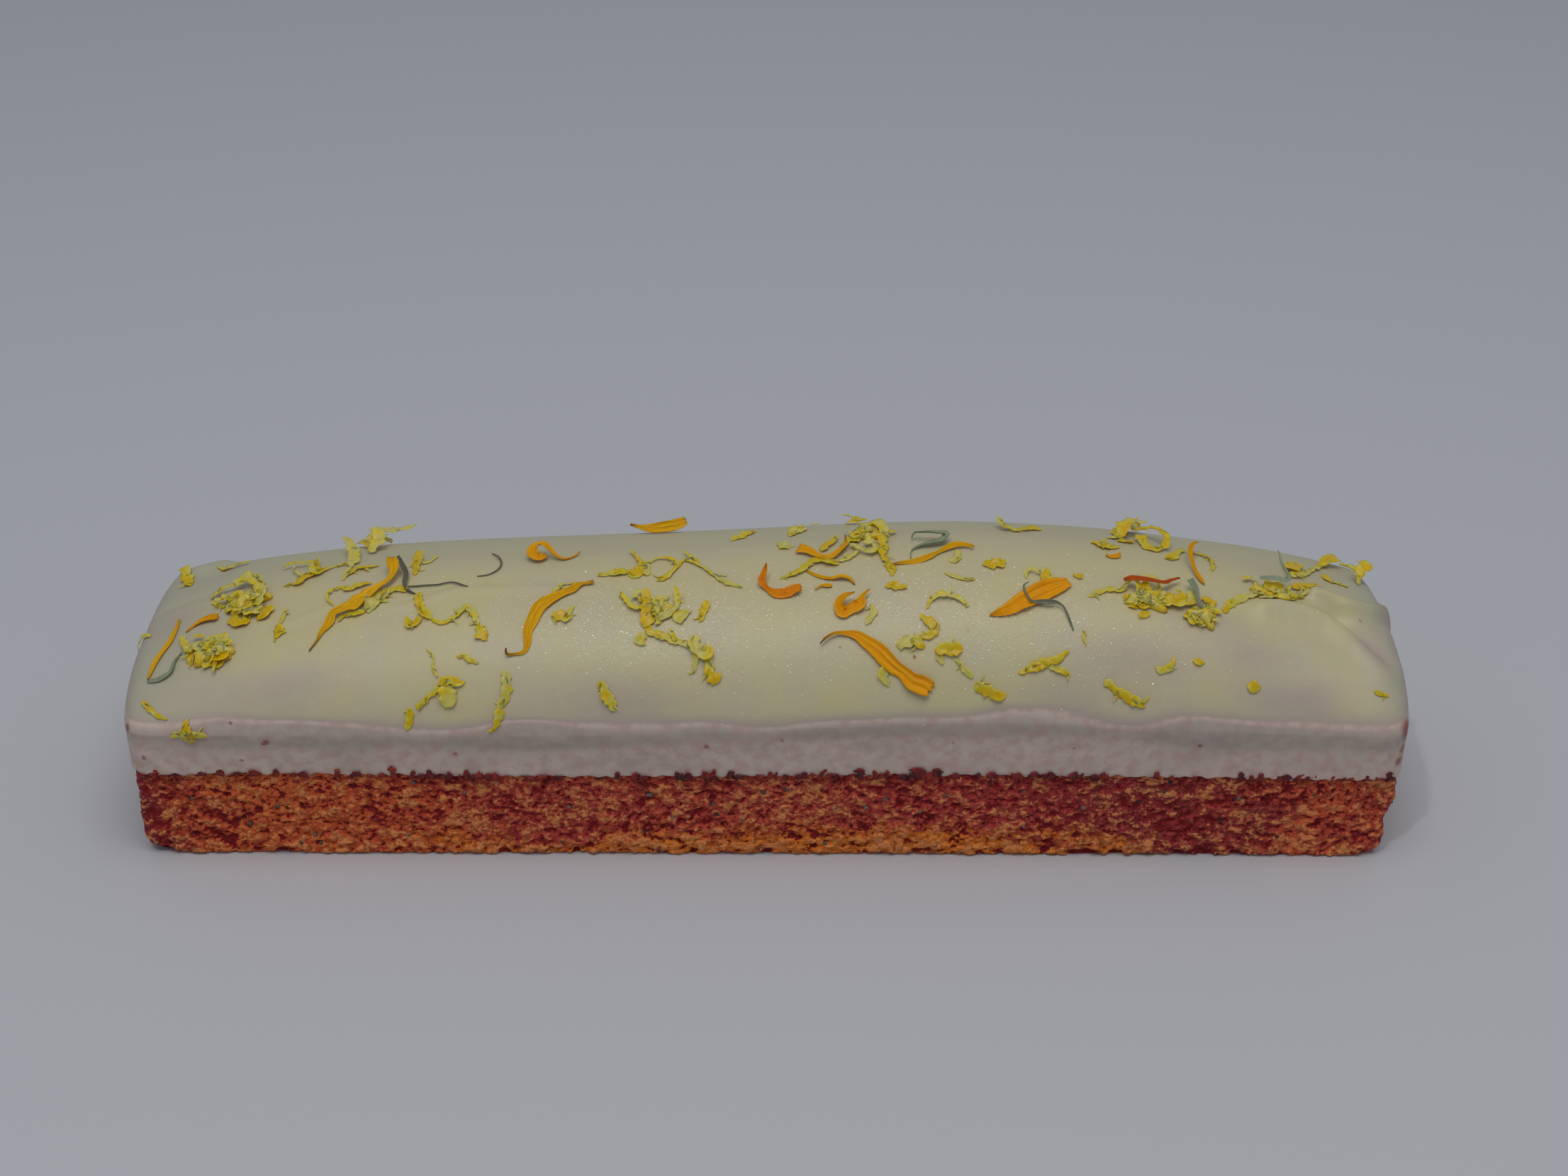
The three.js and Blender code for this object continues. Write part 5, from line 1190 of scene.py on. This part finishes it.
for number, (orange, first_tip, last_tip, ribs, edges, rows) in enumerate(PETALS, 1):
    draw = np.random.default_rng(200 + number)
    path, length, centre, out = lay_route(rows, PETAL_STEPS, PETAL_LIFT)
    share = np.linspace(0, 1, PETAL_STEPS)
    half = np.maximum(path[:, 3] / 2, 0.06)
    sides = []
    for _ in range(2):
        sides.append(half * (1 + 0.1 * knots(draw, share, 5) + draw.uniform(-0.03, 0.03, PETAL_STEPS)))
    s = np.linspace(-1, 1, PETAL_ACROSS)
    folds = 0.1 * np.cos(s * 2.5 * np.pi + 1.5 * knots(draw, share, 3)[:, None]) * half[:, None]
    waves = 0.1 * np.sin(share[:, None] * length * 0.9 + 2 * s + number) * s * np.minimum(half, 1)[:, None]
    twist = TILTS.get(number, 0) + 0.3 * knots(draw, share, 3)
    ripple = folds + waves
    points, quads, across = sweep(centre, out, sides, PETAL_THICK, twist, PETAL_CUP, ripple, PETAL_ACROSS)
    t = np.repeat(share, 2 * PETAL_ACROSS)
    ahead = np.repeat(np.gradient(centre, axis=0), 2 * PETAL_ACROSS, axis=0)
    frayed = np.clip(half[-1], 0, 1.4) * (0.5 + 0.5 * np.sin(across * 9 + number)) * (t > 0.985)
    points = points - ahead / np.linalg.norm(ahead, axis=1, keepdims=True) * 0.6 * frayed[:, None]
    stripe = np.cos(across * 4.5 * np.pi + 2 * np.repeat(knots(draw, share, 6), 2 * PETAL_ACROSS))
    brown = first_tip * np.clip(1.1 - t / 0.14, 0, 1)
    brown = np.maximum(brown, last_tip * np.clip(1 - (1 - t) / 0.08, 0, 1))
    brown = np.maximum(brown, edges * smooth_step(0.8, 1, np.abs(across)))
    brown = np.maximum(brown, ribs * smooth_step(0.7, 1, stripe))
    rib_height = 0.5 + 0.5 * np.cos(across * 7.5 * np.pi)
    values = {"orange": np.full(len(points), orange), "brown": brown, "rib": rib_height}
    petal = new_mesh(f"marigold_petal_{number:02d}", points, [quads], values)
    fit_out(petal, petal_skin, "petal", f"petal_{number:02d}")

# Bits of dried leaf and stem: grey green, rolled up as they dried, some no thicker than a thread.
# Each row is a bit: how green it is, and its route.
LEAVES = [
    (0.7, [(-117.5, -17, 0.1, 0.3), (-118.5, -19, 0.1, 0.9), (-119, -22, 0.2, 1), (-121, -23, 0.1, 1.1),
        (-123.5, -23, 0.1, 0.5)]),
    (0.25, [(-75.5, 1.5, 2.4, 0.6), (-74.5, -1, 1.8, 1), (-73.5, -3.5, 1, 1.1), (-73.5, -6.5, 0.4, 0.9),
        (-72.5, -8.5, 0.2, 0.8), (-71, -9.5, 0.1, 0.3)]),
    (0.2, [(-73.5, -7, 0.3, 0.3), (-70, -7, 0.2, 0.4), (-67, -7, 0.2, 0.4), (-64, -6.5, 0.3, 0.4),
        (-62, -7.5, 0.2, 0.4), (-60.5, -8.5, 0.1, 0.2)]),
    (0.3, [(-59, -4.5, 0.1, 0.2), (-56.5, -4, 0.1, 0.3), (-55, -2.5, 0.1, 0.4), (-54.5, 0, 0.2, 0.4),
        (-55.5, 3, 0.2, 0.4), (-57, 5.5, 0.1, 0.2)]),
    (0.75, [(29.5, 2.5, 0.6, 0.3), (30, 3, 1.4, 0.7), (31.5, 2.5, 1.8, 1), (34.5, 2, 1.9, 1.3),
        (36.5, 2, 1.6, 1.5), (36, 1, 1, 1.6), (33.5, 0, 0.6, 1.7), (31, -0.5, 0.3, 1.1),
        (29.5, -1.5, 0.2, 0.4), (29, -4.5, 0.2, 0.2)]),
    (0.35, [(52, -13, 1.2, 0.2), (51, -14, 1, 0.4), (51.5, -16, 0.9, 0.4), (52.5, -17.5, 0.8, 0.5),
        (54, -17.5, 0.8, 0.9), (56, -17.5, 0.9, 1), (57.5, -17.5, 0.8, 0.6), (58.5, -18, 0.6, 0.4),
        (59.5, -20, 0.4, 0.4), (60, -21.5, 0.2, 0.4), (60.5, -23, 0.1, 0.2)]),
    (0.8, [(100, -4, 2.2, 0.9), (101.5, -3.5, 2.2, 1), (103.5, -3, 2.3, 1), (105, -3.5, 2.4, 1.1),
        (106, -2, 2.6, 1.4), (105.5, -0.5, 3.2, 1), (104.5, 1, 4.2, 0.7), (104, 2.5, 5.2, 0.4),
        (103.5, 3, 5.8, 0.2)]),
    (0.65, [(85, -8, 1.6, 1.3), (85.5, -11, 1.8, 1.3), (85.5, -14, 1.9, 1), (86, -16.5, 1.9, 1.1)]),
]
LEAF_THICK = 0.2
LEAF_CUP = 0.4
LEAF_LIFT = 0.15
LEAF_STEPS = 40
LEAF_ACROSS = 7

# Dried leaf: matt and wrinkled lengthwise, grey green where it kept its colour and brown where it lost it.
LEAF_STOPS = [(0.1, "#4a4038"), (0.5, "#747860"), (0.9, "#94a080")]
dry_leaf = new_material("dried_leaf", Roughness=0.6)
place = add(dry_leaf, "TexCoord").outputs["Object"]
green = add(dry_leaf, "Attribute", attribute_name="green").outputs["Fac"]
streak = add(dry_leaf, "TexNoise", {"Vector": place, "Scale": 1 / (0.9 * MM), "Detail": 3.0})
streak_here = add(dry_leaf, "Math", {0: streak, 1: 0.5, 2: -0.25}, operation="MULTIPLY_ADD")
green_sum = add(dry_leaf, "Math", {0: streak_here, 1: green}, operation="ADD", use_clamp=True)
leaf_colour = add(dry_leaf, "ValToRGB", {0: green_sum}, LEAF_STOPS)
wrinkles = add(dry_leaf, "Bump", {"Height": streak, "Strength": 0.5, "Distance": 0.1 * MM})
set_shader(dry_leaf, Base_Color=leaf_colour, Normal=wrinkles)

for number, (greenness, rows) in enumerate(LEAVES, 1):
    path, _, centre, out = lay_route(rows, LEAF_STEPS, LEAF_LIFT)
    share = np.linspace(0, 1, LEAF_STEPS)
    half = np.maximum(path[:, 3] / 2, 0.08)
    across = np.abs(np.linspace(-1, 1, LEAF_ACROSS))
    crease = 0.05 * np.sin(13 * share + number)[:, None] + 0.12 * half[:, None] * across
    twist = 0.5 * np.sin(3 * share + number)
    points, quads, _ = sweep(centre, out, (half, half), LEAF_THICK, twist, LEAF_CUP, crease, LEAF_ACROSS)
    leaf = new_mesh(f"leaf_bit_{number:02d}", points, [quads], {"green": np.full(len(points), greenness)})
    fit_out(leaf, dry_leaf, "leaf", f"leaf_{number:02d}")

# Crust flakes: torn bits of the cake's dark top edge that stand up over the lower edge of the icing.
# Each row is a place along the front, a height, a width and a lean. More are scattered all round.
CRUST_FLAKES = [
    (-85.8, 1.4, 1.2, 0.2), (-74.5, 2.1, 1.5, -0.3), (-70.9, 1.2, 1.0, 0.3), (-67.6, 1.3, 1.1, 0.3),
    (-63.7, 1.1, 1.0, 0), (-59.9, 1.2, 1.2, -0.2), (-30.1, 1.2, 1.2, 0.1), (-26.4, 1.0, 1.4, 0),
    (-18.2, 1.1, 1.2, 0.3), (-11.1, 1.6, 1.0, 0.6), (-7.1, 1.0, 1.3, 0), (10.5, 1.6, 0.7, 1.4),
    (18.6, 1.8, 2.4, 0), (22.0, 1.3, 0.9, -0.5), (24, 1.1, 1.1, 0.2), (30.6, 1.8, 3.7, 0.1),
    (34.2, 1.4, 2.2, 0), (77.9, 1.0, 1.2, 0.4), (94.7, 1.2, 1.1, 0), (96.9, 1.0, 1.0, 0.2),
    (99, 1.1, 1.2, -0.2), (109.5, 1.3, 1.0, 0.3), (124.4, 1.5, 1.4, 0.2), (-122, 1.2, 1.3, 0.3),
    (-98, 0.9, 1.2, 0),
]
SCATTERED_FLAKES = 240
FLAKE_THICK = 0.45
FLAKE_ROWS = 9
LOW_FLAKE = 0.9


def crust_flake(draw, k, height, head, lean):
    """One flake: a stem that rises from the wall at step k of its outline and opens into a torn round head.
    A low flake has a wide stem that narrows evenly."""
    t = np.linspace(0, 1, FLAKE_ROWS)
    out = np.array([*way_out[k], 0])
    ahead = np.array([-out[1], out[0], 0])
    foot = np.array([*plan[k], icing_line(plan[k, 0]) - 0.6])
    stand = 0.75 + 0.3 * np.sin(t * 2)
    centre = foot + out * stand[:, None] + ahead * (lean * t**2)[:, None]
    centre[:, 2] += (height + 0.6) * t
    stem = 0.55 * head * (1 - 0.5 * t) if height < LOW_FLAKE else 0.3 + 0.25 * head * (1 - t)
    half = stem + (head / 2 - stem) * smooth_step(0.4, 0.8, t)
    half = np.where(t < 0.75, half, half * round_off((t - 0.75) / 0.28, 2).clip(0.25, 1))
    edges = [half * (1 + 0.45 * draw.uniform(-1, 1, FLAKE_ROWS)) for _ in range(2)]
    return sweep(centre, np.tile(out, (FLAKE_ROWS, 1)), edges, FLAKE_THICK, draw.uniform(-0.3, 0.3), 0.2)


draw = np.random.default_rng(53)
front_steps = np.flatnonzero(way_out[:, 1] < -0.99)
rows = [(front_steps[np.argmin(np.abs(plan[front_steps, 0] - x))], *row) for x, *row in CRUST_FLAKES]
for k in draw.integers(0, WALL_STEPS, SCATTERED_FLAKES):
    rows.append((k, 0.1 + 0.9 * draw.random() ** 2, draw.uniform(0.5, 2.4), draw.uniform(-0.7, 0.7)))
points, quads, _ = gather([crust_flake(draw, *row) for row in rows])
crust_bits = new_mesh("crust_flakes", points, [quads])

# Dark cake crust: moist and deep red, nearly black where it caught, with a slight shine.
CRUST_STOPS = [(0.32, "#300e16"), (0.5, "#741418"), (0.68, "#9c3020")]
dark_crust = new_material("dark_moist_crust", Roughness=0.4, Specular_IOR_Level=0.35)
place = add(dark_crust, "TexCoord").outputs["Object"]
char = add(dark_crust, "TexNoise", {"Vector": place, "Scale": 1 / (2.5 * MM), "Detail": 3.0})
crust_colour = add(dark_crust, "ValToRGB", {0: char}, CRUST_STOPS)
blisters = add(dark_crust, "Bump", {"Height": char, "Strength": 0.8, "Distance": 0.4 * MM})
set_shader(dark_crust, Base_Color=crust_colour, Normal=blisters)
fit_out(crust_bits, dark_crust, "sponge", "sponge")

# The camera stands in front of the cake and above it, as in the photograph. Its angles are in degrees: how
# far it looks down, to the right, and is tipped. Its focal length and the frame's width are in pixels.
CAMERA_PLACE = (2.05, -420.8, 289.7)
CAMERA_ANGLES = (30.09, 0.18, 0.23)
FOCAL_LENGTH = 3329
FRAME_WIDTH = 2212
SENSOR_WIDTH = 36
pitch, yaw, roll = (math.radians(a) for a in CAMERA_ANGLES)
ahead = np.array([math.sin(yaw) * math.cos(pitch), math.cos(yaw) * math.cos(pitch), -math.sin(pitch)])
level = np.array([math.cos(yaw), -math.sin(yaw), 0])
upright = np.cross(level, ahead)
right = level * math.cos(roll) + upright * math.sin(roll)
up = upright * math.cos(roll) - level * math.sin(roll)
camera = bpy.data.objects.new("camera", bpy.data.cameras.new("camera"))
camera.data.sensor_width = SENSOR_WIDTH
camera.data.lens = SENSOR_WIDTH * FOCAL_LENGTH / FRAME_WIDTH
camera.data.clip_start = 0.01
turned = Matrix(np.column_stack([right, up, -ahead]).tolist()).to_4x4()
camera.matrix_world = Matrix.Translation([c * MM for c in CAMERA_PLACE]) @ turned
bpy.context.scene.collection.objects.link(camera)
bpy.context.scene.camera = camera

# The floor is plain, pale and matt, wide enough to fill every view. Its size is in metres.
FLOOR_HALF = 4
floor_mesh = bpy.data.meshes.new("floor")
corners = [(x * FLOOR_HALF, y * FLOOR_HALF, 0) for x, y in ((-1, -1), (1, -1), (1, 1), (-1, 1))]
floor_mesh.from_pydata(corners, [], [(0, 1, 2, 3)])
floor = bpy.data.objects.new("floor", floor_mesh)
bpy.context.scene.collection.objects.link(floor)
plain = new_material("plain_pale_floor", Base_Color=hex_colour("#c4c6cc"), Roughness=0.7)
floor_mesh.materials.append(plain)

# The light is that of a bright room: a wide soft lamp overhead, a small one for the glints, and a pale sky.
LIT_POINT = (0, 0, 0.03)
SKY_COLOUR = "#dfe6f2"
SKY_STRENGTH = 0.33


def soft_light(name, place, size, power, colour):
    """A square area light, in metres and watts, turned to the cake."""
    data = bpy.data.lights.new(name, "AREA")
    data.size = size
    data.energy = power
    data.color = hex_colour(colour)[:3]
    lamp = bpy.data.objects.new(name, data)
    direction = Vector(place) - Vector(LIT_POINT)
    lamp.rotation_mode = "QUATERNION"
    lamp.rotation_quaternion = direction.to_track_quat("Z", "Y")
    lamp.location = place
    bpy.context.scene.collection.objects.link(lamp)


soft_light("ceiling_light", (0.1, -0.3, 1.3), 0.9, 5.7, "#fffaf2")
soft_light("glint_light", (-0.25, -0.5, 1.0), 0.05, 1.2, "#ffffff")
world = bpy.data.worlds.new("room")
world.use_nodes = True
sky = world.node_tree.nodes["Background"]
sky.inputs["Color"].default_value = hex_colour(SKY_COLOUR)
sky.inputs["Strength"].default_value = SKY_STRENGTH
bpy.context.scene.world = world
bpy.context.scene.view_settings.view_transform = "Standard"
